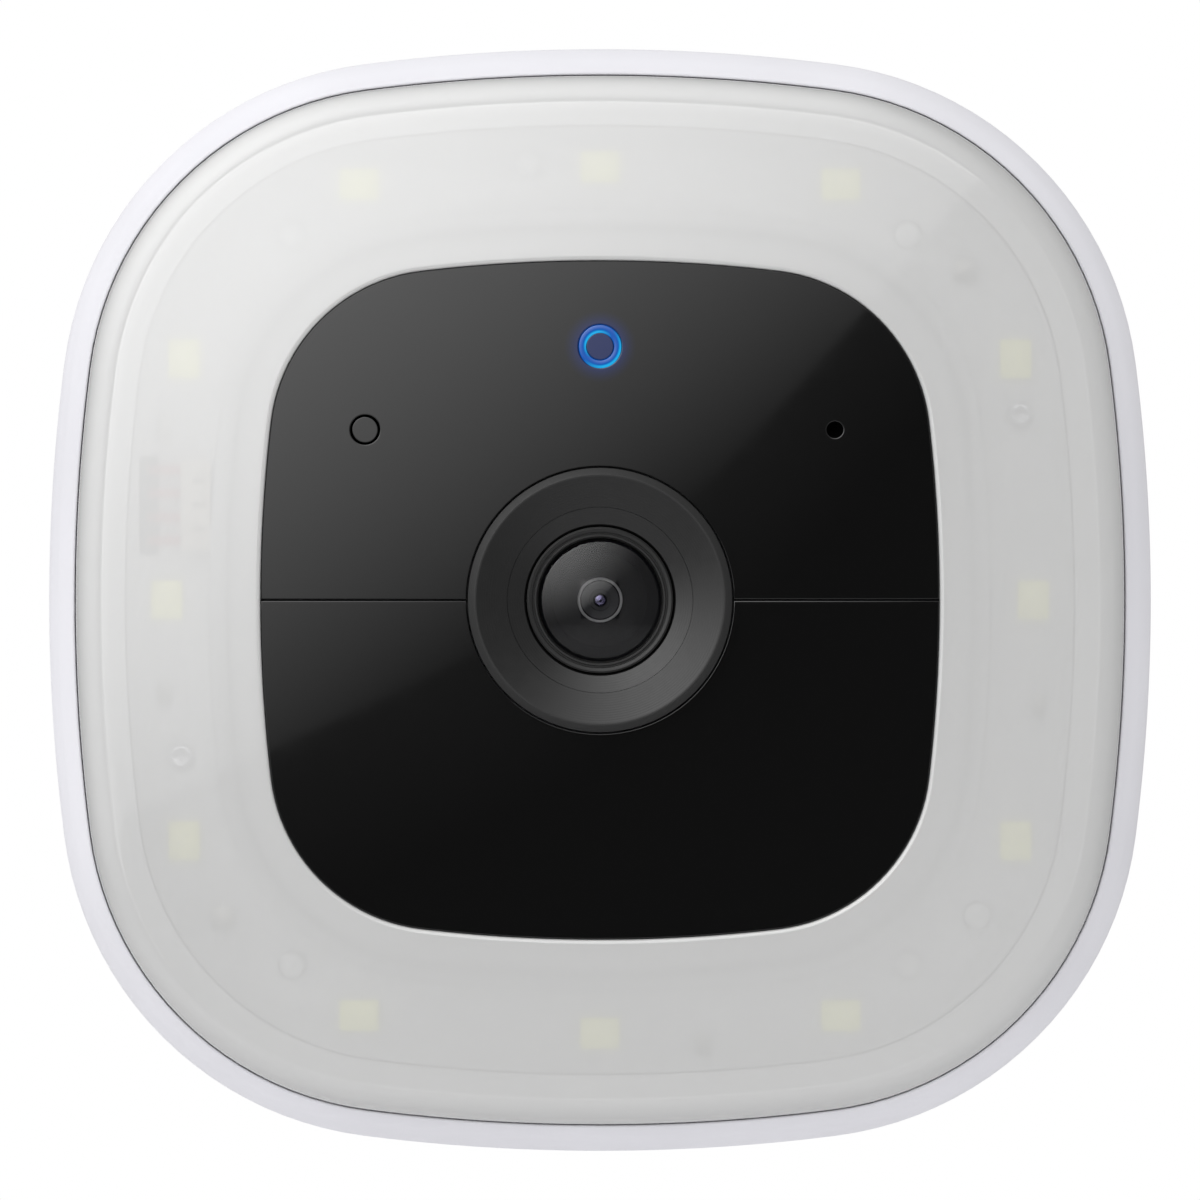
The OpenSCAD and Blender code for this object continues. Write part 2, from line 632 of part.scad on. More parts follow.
module battery_lead() color("firebrick") for (x = [18.9, 21.1]) translate([x, 0, 0])
  rotate(90) wire(concat([[33.2, 28]], arc(35.2, 30, 2, -90, 0, 4),
    arc(35.2, 40.7, 2, 0, 90, 4), [[28, 42.7]]), 0.6);

module speaker() color("dimgrey") speaker_frame() translate([0, 0, -10.2]) difference() {
  union() {
    disc(8.6, 3.8);
    translate([0, 0, -0.9]) disc(5, 1);
  }
  translate([0, 0, 2.6]) cylinder(r1 = 3, r2 = 7.4, h = 1.3, $fn = 64);
}

module speaker_gasket() color("black") speaker_frame() translate([0, 0, -6.3]) tube(8.2, 6.9, 1.1);

module speaker_grille() color("whitesmoke") speaker_frame() translate([0, 0, -2.3]) difference() {
  disc(6.88, 1.6);
  translate([0, 0, -1]) for (r = [0 : 3]) for (i = [0 : max(0, 6 * r - 1)])
    rotate(r == 0 ? 0 : 60 * i / r) translate([1.75 * r, 0, 0]) cylinder(r = 0.5, h = 4, $fn = 24);
}

// ---------- socket, button and cover ----------

module io_board() color("darkgreen") at([-4, -17], 11.4) box(34, 13, 1.2, 1);

module usb_socket() color("silver") at([0, usb_y], 4.3) difference() {
  box(8.9, 3.3, 7.05, 1.5);
  translate([0, 0, -1]) box(8.3, 2.6, 7, 1.25);
}

module sync_switch() color("silver") at(button_at, 8.2) {
  box(6, 6, 3.15, 0.4);
  translate([0, 0, -0.5]) cylinder(r = 1.6, h = 0.6, $fn = 32);
}

module sync_button() color("lightgrey") at(button_at) {
  translate([0, 0, -0.3]) rotate_extrude($fn = 64)
    polygon([[0, 0], [2.5, 0], [3.05, 0.5], [3.05, 2.8], [0, 2.8]]);
  translate([0, 0, 2.4]) disc(1.6, 4.6);
  // barb that snaps in behind the seal
  translate([0, 0, 5.05]) cylinder(r1 = 2.1, r2 = 1.6, h = 0.9, $fn = 64);
}

module button_seal() color("dimgrey") at(button_at, 4.25) tube(4.4, 1.7, 0.7);

module usb_cover() color("lightgrey") {
  h = flap_top - flap_hinge_y;
  translate([0, flap_hinge_y + h / 2, 0]) box(flap_w, h, flap_t, flap_r);
  translate([-flap_w / 2, flap_hinge_y, flap_t / 2]) rotate([0, 90, 0]) disc(flap_t / 2, flap_w);
  translate([0, flap_top - 0.1, 0]) linear_extrude(height = 0.8) intersection() {
    circle(r = 1.9, $fn = 48);
    translate([-3, -1]) square([6, 4]);
  }
  translate([0, usb_y - 0.1, flap_t - eps]) box(8.8, 2.7, 1.8, 1.3);
}

// ---------- assembly ----------

on_wall() wall_plate();
on_wall() lock_collar();
on_wall() friction_cup();
on_wall() ball_stud();
on_wall() lock_nut();
in_head() rear_housing();
in_head() back_plate();
in_head() thread_insert();
in_head() front_bezel();
in_head() main_seal();
in_head() chassis();
in_head() housing_screws();
in_head() light_tray();
in_head() led_board();
in_head() led_chips();
in_head() led_board_parts();
in_head() led_board_screws();
in_head() led_connector();
in_head() led_lead();
in_head() diffuser();
in_head() face_frame();
in_head() face_panel();
in_head() pir_window();
in_head() lens_bezel();
in_head() lens_retainer();
in_head() lens_barrel();
in_head() front_lens();
in_head() aperture_plate();
in_head() aperture_ring();
in_head() inner_lens();
in_head() lens_holder();
in_head() image_sensor();
in_head() sensor_board();
in_head() status_ring();
in_head() status_cap();
in_head() light_sensor_window();
in_head() mic_boot();
in_head() face_board();
in_head() face_board_parts();
in_head() infrared_leds();
in_head() pir_sensor();
in_head() pir_board();
in_head() main_board();
in_head() main_board_parts();
in_head() wifi_antenna();
in_head() battery_cells();
in_head() battery_tray();
in_head() battery_lead();
in_head() speaker();
in_head() speaker_gasket();
in_head() speaker_grille();
in_head() io_board();
in_head() usb_socket();
in_head() sync_switch();
in_head() sync_button();
in_head() button_seal();
in_head() usb_cover();
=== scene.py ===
"""Looks for a floodlight security camera on a ball-joint wall bracket.

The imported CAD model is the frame. The shells, plates and turned parts that show are built
round it here as fine meshes, in the design's bench frame: x to the right, y up the front and
z away from the wall, in millimetres. The CAD nodes that stay get soft edges and a material.
"""

import math

import bmesh
import bpy
from mathutils import Matrix, Vector
from mathutils.geometry import delaunay_2d_cdt


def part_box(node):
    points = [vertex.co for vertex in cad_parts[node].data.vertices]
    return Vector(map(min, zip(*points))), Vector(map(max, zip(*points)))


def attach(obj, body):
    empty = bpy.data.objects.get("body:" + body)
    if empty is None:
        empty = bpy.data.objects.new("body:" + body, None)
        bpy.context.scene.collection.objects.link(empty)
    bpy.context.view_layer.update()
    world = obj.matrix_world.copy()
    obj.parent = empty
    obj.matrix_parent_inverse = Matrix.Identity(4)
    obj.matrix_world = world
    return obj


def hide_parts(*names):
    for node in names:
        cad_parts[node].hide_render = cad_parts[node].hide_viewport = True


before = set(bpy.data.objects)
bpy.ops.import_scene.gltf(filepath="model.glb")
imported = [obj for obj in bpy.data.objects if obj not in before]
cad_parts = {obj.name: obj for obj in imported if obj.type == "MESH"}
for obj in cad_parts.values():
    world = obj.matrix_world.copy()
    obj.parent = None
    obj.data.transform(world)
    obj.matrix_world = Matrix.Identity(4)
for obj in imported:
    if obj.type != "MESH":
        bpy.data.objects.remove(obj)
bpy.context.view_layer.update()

MM = 0.001

# ---------------------------------------------------------------- sizes, as in the design

HEAD_HALF, HEAD_SIDE_R, HEAD_CORNER_R = 50.0, 169.0, 31.4
FACE_HALF, FACE_SIDE_R, FACE_CORNER_R = 30.7, 138.0, 15.5
DOME_R = 630.0
HEAD_Z = -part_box("back_plate")[1].y / MM
CROWN = -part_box("face_panel")[0].y / MM - HEAD_Z
SEAM_H = 55.0
PARTING = 0.15
BOWL_DEPTH, BACK_FLAT_R, WALL = 58.0, 26.0, 2.4
DIFFUSER_CROWN = CROWN + 0.35
DIFFUSER_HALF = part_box("diffuser")[1].x / MM
LENS_HOLE_R = 12.1
STATUS_Y = 22.95
SIDE_DOT = (21.25, 15.4)
SPEAKER_H = 31.0
OUTER_GAP, INNER_GAP = 0.13, 0.04
LENS_RIM_R = 11.2
CAMERA_DISTANCE = 2.5

# ---------------------------------------------------------------- limits for the mesh tools

NEARLY_STRAIGHT = math.pi - 0.01
ON_AXIS = 1e-6
SAME_POINT, WELD_DISTANCE = 1e-7, 1e-6
SHARP_ANGLE, CUT_SHARP_ANGLE, FLAT_ANGLE = 35, 30, 0.5

# the colour sockets of a Mix node, and its colour result
FACTOR, COLOUR_A, COLOUR_B, MIXED = 0, 6, 7, 2


def row_point(x, y, z):
    """A bench point, in millimetres, as a point of the row frame, in metres."""
    return Vector((x * MM, -z * MM, y * MM))


def head_point(x, y, h):
    """A point of the head, with h measured forward from its flat back."""
    return row_point(x, y, HEAD_Z + h)


# ---------------------------------------------------------------- outlines and profiles


def squircle(half, side_r, corner_r, side=14, corner=22):
    """A rounded square whose bowed sides and corners are arcs that meet tangentially."""
    k = half - side_r
    c = (k + math.sqrt(2 * (side_r - corner_r) ** 2 - k * k)) / 2
    end = math.atan2(c, c - k)
    quarter = []
    for i in range(side):
        t = end * i / side
        quarter.append((k + side_r * math.cos(t), side_r * math.sin(t)))
    for i in range(corner + 1):
        t = end + (math.pi / 2 - 2 * end) * i / corner
        quarter.append((c + corner_r * math.cos(t), c + corner_r * math.sin(t)))
    for i in range(1, side):
        t = math.pi / 2 - end + end * i / side
        quarter.append((side_r * math.cos(t), k + side_r * math.sin(t)))
    loop = []
    for _ in range(4):
        loop += quarter
        quarter = [(-y, x) for x, y in quarter]
    return loop


def head_outline(half):
    grow = half - HEAD_HALF
    return squircle(half, HEAD_SIDE_R + grow, HEAD_CORNER_R + grow)


def face_outline(half):
    grow = half - FACE_HALF
    return squircle(half, FACE_SIDE_R + grow, FACE_CORNER_R + grow)


def circle(r, centre=(0, 0), n=96):
    turn = 2 * math.pi / n
    return [(centre[0] + r * math.cos(turn * i), centre[1] + r * math.sin(turn * i)) for i in range(n)]


def mixed(a, b, f):
    return [((1 - f) * p[0] + f * q[0], (1 - f) * p[1] + f * q[1]) for p, q in zip(a, b)]


def sag(x, y):
    """Height lost at a point of a surface that follows the domed front."""
    return (x * x + y * y) / (2 * DOME_R)


def dome(crown):
    return lambda x, y: crown - sag(x, y)


def flat(height):
    return lambda x, y: height


def rounded(points, steps=5):
    """A closed outline with its corners rounded. A point is (u, v, radius) or (u, v, radius, w)."""
    points = [tuple(p) + (0.0,) * (4 - len(p)) for p in points]
    path = []
    n = len(points)
    for i, (u, v, r, w) in enumerate(points):
        here = Vector((u, v))
        before, after = points[i - 1], points[(i + 1) % n]
        a = Vector(before[:2]) - here
        b = Vector(after[:2]) - here
        corner = a.angle(b) if a.length and b.length else math.pi
        if r <= 0 or corner > NEARLY_STRAIGHT:
            path.append((u, v, w))
            continue
        reach = min(r / math.tan(corner / 2), 0.48 * a.length, 0.48 * b.length)
        r = reach * math.tan(corner / 2)
        middle = here + (a.normalized() + b.normalized()).normalized() * (r / math.sin(corner / 2))
        start = here + a.normalized() * reach - middle
        finish = here + b.normalized() * reach - middle
        swing = start.angle_signed(finish)
        for k in range(steps + 1):
            p = middle + Matrix.Rotation(-swing * k / steps, 2) @ start
            path.append((p.x, p.y, w))
    return path


# ---------------------------------------------------------------- meshes


class Shape:
    """A closed mesh in the bench frame, with a material number for each face."""

    def __init__(self):
        self.verts, self.faces, self.slots = [], [], []

    def add(self, verts, faces, slots=None):
        start = len(self.verts)
        self.verts += [Vector(v) for v in verts]
        self.faces += [[start + i for i in f] for f in faces]
        self.slots += slots or [0] * len(faces)

    def moved(self, matrix):
        self.verts = [matrix @ v for v in self.verts]
        return self


def loft(rings, slots=None):
    """Joins rings of equal length, the last to the first. slots holds each band's slot."""
    n, m = len(rings[0]), len(rings)
    faces, marks = [], []
    for i in range(m):
        for j in range(n):
            j2, i2 = (j + 1) % n, (i + 1) % m
            faces.append([i * n + j, i * n + j2, i2 * n + j2, i2 * n + j])
            marks.append(slots[i] if slots else 0)
    shape = Shape()
    shape.add([p for ring in rings for p in ring], faces, marks)
    return shape


def band(profile, outline):
    """Sweeps a profile of (half width, height, share of the dome) round a squircle outline."""
    rings = []
    for half, h, share in profile:
        rings.append([(x, y, h - share * sag(x, y)) for x, y in outline(half)])
    return loft(rings)


def turned(profile, n=160, slots=None):
    """Turns a closed profile of (radius, height, unused) round the z axis."""
    shape = Shape()
    rings = []
    for u, v, _ in profile:
        if u < ON_AXIS:
            rings.append([len(shape.verts)])
            shape.verts.append(Vector((0, 0, v)))
            continue
        ring = []
        for j in range(n):
            a = 2 * math.pi * j / n
            ring.append(len(shape.verts))
            shape.verts.append(Vector((u * math.cos(a), u * math.sin(a), v)))
        rings.append(ring)
    for i, ring in enumerate(rings):
        other = rings[(i + 1) % len(rings)]
        for j in range(n):
            j2 = (j + 1) % n
            if len(ring) == 1 and len(other) == 1:
                break
            if len(ring) == 1:
                face = [ring[0], other[j2], other[j]]
            elif len(other) == 1:
                face = [ring[j], ring[j2], other[0]]
            else:
                face = [ring[j], ring[j2], other[j2], other[j]]
            shape.faces.append(face)
            shape.slots.append(slots[i] if slots else 0)
    return shape


def left_normals(loop):
    """At each point of a loop, the offset to its left that moves both of its edges by 1."""
    n = len(loop)
    result = []
    for i in range(n):
        before, here, after = (Vector(loop[k % n]) for k in (i - 1, i, i + 1))
        a, b = (here - before).normalized(), (after - here).normalized()
        na, nb = Vector((-a.y, a.x)), Vector((-b.y, b.x))
        middle = (na + nb).normalized()
        result.append(middle / max(0.3, middle.dot(na)))
    return result


def inside(x, y, loop):
    """True if a point is inside a loop, by counting the edges to its right."""
    hit = False
    for (x1, y1), (x2, y2) in zip(loop, loop[1:] + loop[:1]):
        if (y1 > y) != (y2 > y) and x < x1 + (y - y1) * (x2 - x1) / (y2 - y1):
            hit = not hit
    return hit


def fill(loops, spacing):
    """Triangles between an outer loop and the holes after it, on an even grid of points."""
    points, edges = [], []
    for loop in loops:
        start, n = len(points), len(loop)
        points += [Vector(p) for p in loop]
        edges += [(start + i, start + (i + 1) % n) for i in range(n)]
    rim = len(points)
    xs, ys = [p.x for p in points], [p.y for p in points]
    nx = max(1, math.ceil((max(xs) - min(xs)) / spacing))
    ny = max(1, math.ceil((max(ys) - min(ys)) / spacing))
    for i in range(1, nx):
        for j in range(1, ny):
            x = min(xs) + (max(xs) - min(xs)) * i / nx
            y = min(ys) + (max(ys) - min(ys)) * j / ny
            if not inside(x, y, loops[0]) or any(inside(x, y, h) for h in loops[1:]):
                continue
            if min((x - p.x) ** 2 + (y - p.y) ** 2 for p in points[:rim]) > (0.4 * spacing) ** 2:
                points.append(Vector((x, y)))
    verts, _, faces, origin, _, _ = delaunay_2d_cdt(points, edges, [], 0, 1e-6)
    kept = []
    for f in faces:
        x = sum(verts[i].x for i in f) / len(f)
        y = sum(verts[i].y for i in f) / len(f)
        if inside(x, y, loops[0]) and not any(inside(x, y, h) for h in loops[1:]):
            kept.append([origin[i][0] for i in f])
    return points, kept


def plate(outer, holes, top, bottom, edge=0.2, spacing=2.0, steps=4):
    """A plate between two height functions. Loops run with the material on their left."""
    loops = [outer] + holes
    offsets = [left_normals(loop) for loop in loops]
    rims = []
    for loop, offset in zip(loops, offsets):
        rims.append([(p[0] + o.x * edge, p[1] + o.y * edge) for p, o in zip(loop, offset)])
    points, faces = fill(rims, spacing)
    shape = Shape()
    shape.add([(p.x, p.y, top(p.x, p.y)) for p in points], faces, [1] * len(faces))
    shape.add([(p.x, p.y, bottom(p.x, p.y)) for p in points], faces)
    under = len(points)
    start = 0
    for loop, offset in zip(loops, offsets):
        n = len(loop)
        rings = [[start + i for i in range(n)]]
        for k in range(steps - 1, -1, -1):
            t = math.pi / 2 * k / steps
            inset, drop = edge * (1 - math.cos(t)), edge * (1 - math.sin(t))
            ring = []
            for p, o in zip(loop, offset):
                x, y = p[0] + o.x * inset, p[1] + o.y * inset
                ring.append(len(shape.verts))
                shape.verts.append(Vector((x, y, top(x, y) - drop)))
            rings.append(ring)
        ring = []
        for p in loop:
            ring.append(len(shape.verts))
            shape.verts.append(Vector((p[0], p[1], bottom(p[0], p[1]))))
        rings += [ring, [under + start + i for i in range(n)]]
        for a, b in zip(rings, rings[1:]):
            for i in range(n):
                i2 = (i + 1) % n
                shape.faces.append([a[i], a[i2], b[i2], b[i]])
                shape.slots.append(0)
        start += n
    return shape


def reverse(loop):
    return loop[::-1]


def make(name, shape, materials, body, swaps=(), front=None):
    """Builds a piece in the row frame, shades it smooth, and hands it to its body.

    front(x, y) gives the true height's normal of the faces in slot 1 of a plate, and the
    plate's faces then all take the first material."""
    mesh = bpy.data.meshes.new(name)
    mesh.from_pydata([head_point(*v) for v in shape.verts], [], shape.faces)
    mesh.polygons.foreach_set("material_index", shape.slots)
    b = bmesh.new()
    b.from_mesh(mesh)
    bmesh.ops.remove_doubles(b, verts=b.verts, dist=SAME_POINT)
    bmesh.ops.recalc_face_normals(b, faces=b.faces)
    b.to_mesh(mesh)
    b.free()
    piece = bpy.data.objects.new(name, mesh)
    bpy.context.scene.collection.objects.link(piece)
    for m in materials:
        mesh.materials.append(m)
    mesh.shade_smooth()
    mesh.set_sharp_from_angle(angle=math.radians(SHARP_ANGLE))
    if front:
        true_normals(mesh, front)
    else:
        weigh(piece)
    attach(piece, body)
    if swaps:
        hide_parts(*swaps)
    return piece


def true_normals(mesh, front):
    """Gives the front faces of a plate the exact normals of the surface they lie on."""
    split = []
    for face in mesh.polygons:
        exact = face.material_index == 1 and face.normal.y < 0
        for i in face.vertices:
            p = mesh.vertices[i].co
            split.append(front(p.x / MM, p.z / MM) if exact else Vector((0, 0, 0)))
        face.material_index = 0
    mesh.normals_split_custom_set(split)


def dome_normal(x, y):
    return Vector((x / DOME_R, -1, y / DOME_R)).normalized()


def weigh(piece):
    shading = piece.modifiers.new("even_shading", "WEIGHTED_NORMAL")
    shading.keep_sharp = True


def cut(piece, cutter):
    """Cuts a shape out of a piece for good."""
    mesh = bpy.data.meshes.new("cutter")
    mesh.from_pydata(cutter.verts, [], cutter.faces)
    b = bmesh.new()
    b.from_mesh(mesh)
    bmesh.ops.recalc_face_normals(b, faces=b.faces)
    b.to_mesh(mesh)
    b.free()
    tool = bpy.data.objects.new("cutter", mesh)
    bpy.context.scene.collection.objects.link(tool)
    boolean = piece.modifiers.new("cut", "BOOLEAN")
    boolean.operation = "DIFFERENCE"
    boolean.solver = "EXACT"
    boolean.object = tool
    while piece.modifiers[0] != boolean:
        bpy.context.view_layer.objects.active = piece
        bpy.ops.object.modifier_move_up(modifier=boolean.name)
    shading = [m for m in piece.modifiers if m.type == "WEIGHTED_NORMAL"]
    for m in shading:
        m.show_viewport = False
    graph = bpy.context.evaluated_depsgraph_get()
    done = bpy.data.meshes.new_from_object(piece.evaluated_get(graph))
    piece.modifiers.remove(boolean)
    for m in shading:
        m.show_viewport = True
    piece.data = done
    done.shade_smooth()
    done.set_sharp_from_angle(angle=math.radians(CUT_SHARP_ANGLE))
    bpy.data.objects.remove(tool)
    return piece


def soften(node, material, width):
    """Keeps a CAD node, gives it a material, and rounds its edges with modifiers."""
    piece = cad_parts[node]
    piece.data.materials.clear()
    piece.data.materials.append(material)
    weld = piece.modifiers.new("weld", "WELD")
    weld.merge_threshold = WELD_DISTANCE
    merge = piece.modifiers.new("merge", "DECIMATE")
    merge.decimate_type = "DISSOLVE"
    merge.angle_limit = math.radians(FLAT_ANGLE)
    bevel = piece.modifiers.new("edges", "BEVEL")
    bevel.width = width * MM
    bevel.segments = 2
    bevel.limit_method = "ANGLE"
    bevel.angle_limit = math.radians(SHARP_ANGLE)
    bevel.harden_normals = True
    piece.data.shade_smooth()
    return piece


# ---------------------------------------------------------------- materials

SOCKETS = {
    "ior": "IOR",
    "metallic": "Metallic",
    "specular": "Specular IOR Level",
    "coat": "Coat Weight",
    "coat_roughness": "Coat Roughness",
}


class Material:
    """A Principled material, with short calls for the nodes that the looks below share."""

    def __init__(self, name, colour, roughness, **sockets):
        self.block = bpy.data.materials.new(name)
        self.block.use_nodes = True
        self.tree = self.block.node_tree
        self.shader = self.tree.nodes["Principled BSDF"]
        self.colour = (*colour, 1.0)
        self.shader.inputs["Base Color"].default_value = self.colour
        self.shader.inputs["Roughness"].default_value = roughness
        for key, value in sockets.items():
            self.shader.inputs[SOCKETS[key]].default_value = value
        self.coords = self.node("ShaderNodeTexCoord").outputs["Object"]

    def node(self, kind, **fields):
        made = self.tree.nodes.new(kind)
        for key, value in fields.items():
            setattr(made, key, value)
        return made

    def join(self, source, target):
        self.tree.links.new(source, target)

    def math(self, operation, a, b=None, clamp=False):
        made = self.node("ShaderNodeMath", operation=operation, use_clamp=clamp)
        for socket, value in zip(made.inputs, (a, b)):
            if isinstance(value, (int, float)):
                socket.default_value = value
            elif value is not None:
                self.join(value, socket)
        return made.outputs[0]

    def noise(self, grain_mm, detail=2.0):
        """Noise in the piece's own space, with features of about grain_mm."""
        mapping = self.node("ShaderNodeMapping")
        mapping.inputs["Scale"].default_value = [1 / (grain_mm * MM)] * 3
        self.join(self.coords, mapping.inputs["Vector"])
        made = self.node("ShaderNodeTexNoise")
        made.inputs["Scale"].default_value = 1.0
        made.inputs["Detail"].default_value = detail
        self.join(mapping.outputs[0], made.inputs["Vector"])
        return made.outputs["Fac"]

    def spread(self, value, low, high, start=0.3, stop=0.7):
        """Low to high as a value goes from start to stop, which suit a noise unless given."""
        made = self.node("ShaderNodeMapRange")
        made.inputs["From Min"].default_value = start
        made.inputs["From Max"].default_value = stop
        made.inputs["To Min"].default_value = low
        made.inputs["To Max"].default_value = high
        self.join(value, made.inputs["Value"])
        return made.outputs[0]

    def tint(self, factor, other):
        """Base colour mixed towards another by a factor."""
        made = self.node("ShaderNodeMix", data_type="RGBA")
        made.inputs[COLOUR_A].default_value = self.colour
        made.inputs[COLOUR_B].default_value = (*other, 1.0)
        self.join(factor, made.inputs[FACTOR])
        self.join(made.outputs[MIXED], self.shader.inputs["Base Color"])
        return self

    def rough(self, value):
        self.join(value, self.shader.inputs["Roughness"])
        return self

    def bump(self, height, depth_mm):
        made = self.node("ShaderNodeBump")
        made.inputs["Strength"].default_value = 1.0
        made.inputs["Distance"].default_value = depth_mm * MM
        self.join(height, made.inputs["Height"])
        self.join(made.outputs[0], self.shader.inputs["Normal"])
        return self

    def radius_from(self, point):
        """Distance from a row point in the plane of the camera's face, in millimetres."""
        parts = self.node("ShaderNodeSeparateXYZ")
        self.join(self.coords, parts.inputs[0])
        x = self.math("SUBTRACT", parts.outputs["X"], point.x)
        z = self.math("SUBTRACT", parts.outputs["Z"], point.z)
        squares = self.math("ADD", self.math("MULTIPLY", x, x), self.math("MULTIPLY", z, z))
        return self.math("DIVIDE", self.math("SQRT", squares), MM)


def moulded(name, colour, roughness, grain_mm=0.32, depth_mm=0.012, **sockets):
    """Injection-moulded plastic with a fine spark-eroded texture and a little colour drift."""
    m = Material(name, colour, roughness, **sockets)
    grain = m.noise(grain_mm, 3.0)
    drift = m.noise(18.0)
    m.tint(m.spread(drift, 0.0, 1.0), tuple(c * 0.94 for c in colour))
    m.rough(m.spread(grain, roughness - 0.06, roughness + 0.08))
    m.bump(grain, depth_mm)
    return m.block


def polished(name, colour, roughness):
    """Polished plastic with the faintest unevenness of a moulded gloss."""
    m = Material(name, colour, roughness)
    m.tint(m.spread(m.noise(9.0), 0.0, 1.0), tuple(min(1.0, c * 1.15) for c in colour))
    m.rough(m.spread(m.noise(1.5, 3.0), roughness * 0.8, roughness * 1.3))
    return m.block


def metal(name, colour, roughness):
    """Bare metal with a fine, slightly uneven grain."""
    m = Material(name, colour, roughness, metallic=1.0)
    marks = m.noise(0.25, 3.0)
    m.tint(m.spread(m.noise(4.0), 0.0, 1.0), tuple(c * 0.85 for c in colour))
    m.rough(m.spread(marks, roughness - 0.08, roughness + 0.12))
    m.bump(marks, 0.004)
    return m.block


def board(name, colour, trace):
    """A circuit board's solder mask, with the faint relief of the tracks below it."""
    m = Material(name, colour, 0.35)
    track_pitch_mm = 1.4
    cells = m.node("ShaderNodeTexVoronoi", feature="DISTANCE_TO_EDGE", distance="CHEBYCHEV")
    cells.inputs["Scale"].default_value = 1 / (track_pitch_mm * MM)
    m.join(m.coords, cells.inputs["Vector"])
    lines = m.spread(cells.outputs["Distance"], 1.0, 0.0, 0.04, 0.09)
    m.tint(lines, trace)
    m.bump(lines, 0.02)
    return m.block


white = moulded("moulded_white", (0.775, 0.770, 0.810), 0.5, specular=0.25)
foot_white = moulded("foot_white", (0.58, 0.58, 0.58), 0.5)
soft_grey = moulded("soft_grey_rubber", (0.56, 0.56, 0.60), 0.65, 0.2, 0.01)
black_nylon = moulded("black_nylon", (0.022, 0.022, 0.024), 0.5, 0.3, 0.02)
frame_nylon = moulded("glass_filled_nylon", (0.05, 0.05, 0.055), 0.55, 0.4, 0.03)
rubber = moulded("black_rubber", (0.02, 0.02, 0.02), 0.7, 0.25, 0.02)


def reflector():
    """White reflector plastic, with painted shade darkening it towards the tops of the tray's walls."""
    m = Material("reflector_white", (0.86, 0.86, 0.86), 0.45)
    parts = m.node("ShaderNodeSeparateXYZ")
    m.join(m.coords, parts.inputs[0])
    low, high = head_point(0, 0, 57).y, head_point(0, 0, 63).y
    # Painted shade: the colour turns grey towards the tops of the tray's walls.
    wall_top_shade = (0.46, 0.46, 0.46)
    m.tint(m.spread(parts.outputs["Y"], 0.0, 1.0, low, high), wall_top_shade)
    m.bump(m.noise(0.5, 3.0), 0.01)
    return m.block


tray_white = reflector()
cup_nylon = moulded("natural_nylon", (0.62, 0.61, 0.57), 0.4, 0.4, 0.01)
connector_nylon = moulded("ivory_nylon", (0.70, 0.64, 0.55), 0.4, 0.3, 0.01)
steel = metal("plated_steel", (0.60, 0.60, 0.62), 0.28)
brass = metal("brass", (0.78, 0.56, 0.25), 0.3)
green_board = board("green_board", (0.010, 0.075, 0.028), (0.02, 0.13, 0.05))
white_board = board("white_board", (0.76, 0.76, 0.76), (0.72, 0.72, 0.73))
phosphor = polished("phosphor", (1.0, 1.0, 0.35), 0.35)
phosphor_shader = phosphor.node_tree.nodes["Principled BSDF"]
# The chips' faint yellow emission is a painted glow, which lets them show through the frosted cover.
phosphor_shader.inputs["Emission Color"].default_value = (1.0, 1.0, 0.4, 1.0)
phosphor_shader.inputs["Emission Strength"].default_value = 0.07
part_metal = metal("component_tin", (0.42, 0.41, 0.38), 0.4)
red_wire = polished("red_silicone", (0.45, 0.05, 0.045), 0.45)
copper_film = metal("copper_film", (0.55, 0.30, 0.16), 0.35)
cell_wrap = polished("cell_wrap", (0.03, 0.10, 0.28), 0.3)
speaker_black = moulded("speaker_black", (0.03, 0.03, 0.032), 0.5, 0.3, 0.02)
sensor_glass = polished("sensor_glass", (0.01, 0.015, 0.03), 0.1)
epoxy = polished("clear_epoxy", (0.30, 0.31, 0.36), 0.12)


def panel_black():
    """Gloss black acrylic, with the status light's halo bleeding into it."""
    m = Material("gloss_black", (0.0053, 0.0053, 0.0053), 0.035, ior=1.49)
    m.rough(m.spread(m.noise(2.5, 3.0), 0.03, 0.05))
    away = m.radius_from(head_point(0, STATUS_Y, 0))
    halo_start, halo_end, falloff, strength = 1.9, 3.4, 1.7, 0.085
    glow = m.math("POWER", m.spread(away, 1.0, 0.0, halo_start, halo_end), falloff)
    m.shader.inputs["Emission Color"].default_value = (0.0, 0.12, 1.0, 1.0)
    m.join(m.math("MULTIPLY", glow, strength), m.shader.inputs["Emission Strength"])
    return m.block


def frosted(name, alpha, roughness, coat):
    """Frosted acrylic under a gloss skin, which lets a little of what is behind it show.

    Where it turns away from the front, painted shade makes it a little darker, and its skin is duller."""
    m = Material(name, (0.81, 0.81, 0.805), roughness, ior=1.49, coat=coat, coat_roughness=0.03)
    m.shader.inputs["Coat IOR"].default_value = 1.8
    parts = m.node("ShaderNodeSeparateXYZ")
    m.join(m.node("ShaderNodeTexCoord").outputs["Normal"], parts.inputs[0])
    towards_back = parts.outputs["Y"]
    # Painted shade: darker as the surface turns away from the front.
    edge = m.spread(towards_back, 0.0, 0.9, -0.97, -0.6)
    skin_weight = m.spread(towards_back, coat, 0.45 * coat, -0.98, -0.8)
    m.join(skin_weight, m.shader.inputs["Coat Weight"])
    drift = m.spread(m.noise(14.0), 0.0, 0.1)
    # The painted edge shade and a random colour drift, mixed into the base colour.
    m.tint(m.math("ADD", edge, drift, clamp=True), (0.73, 0.73, 0.725))
    m.shader.inputs["Alpha"].default_value = alpha
    return m.block


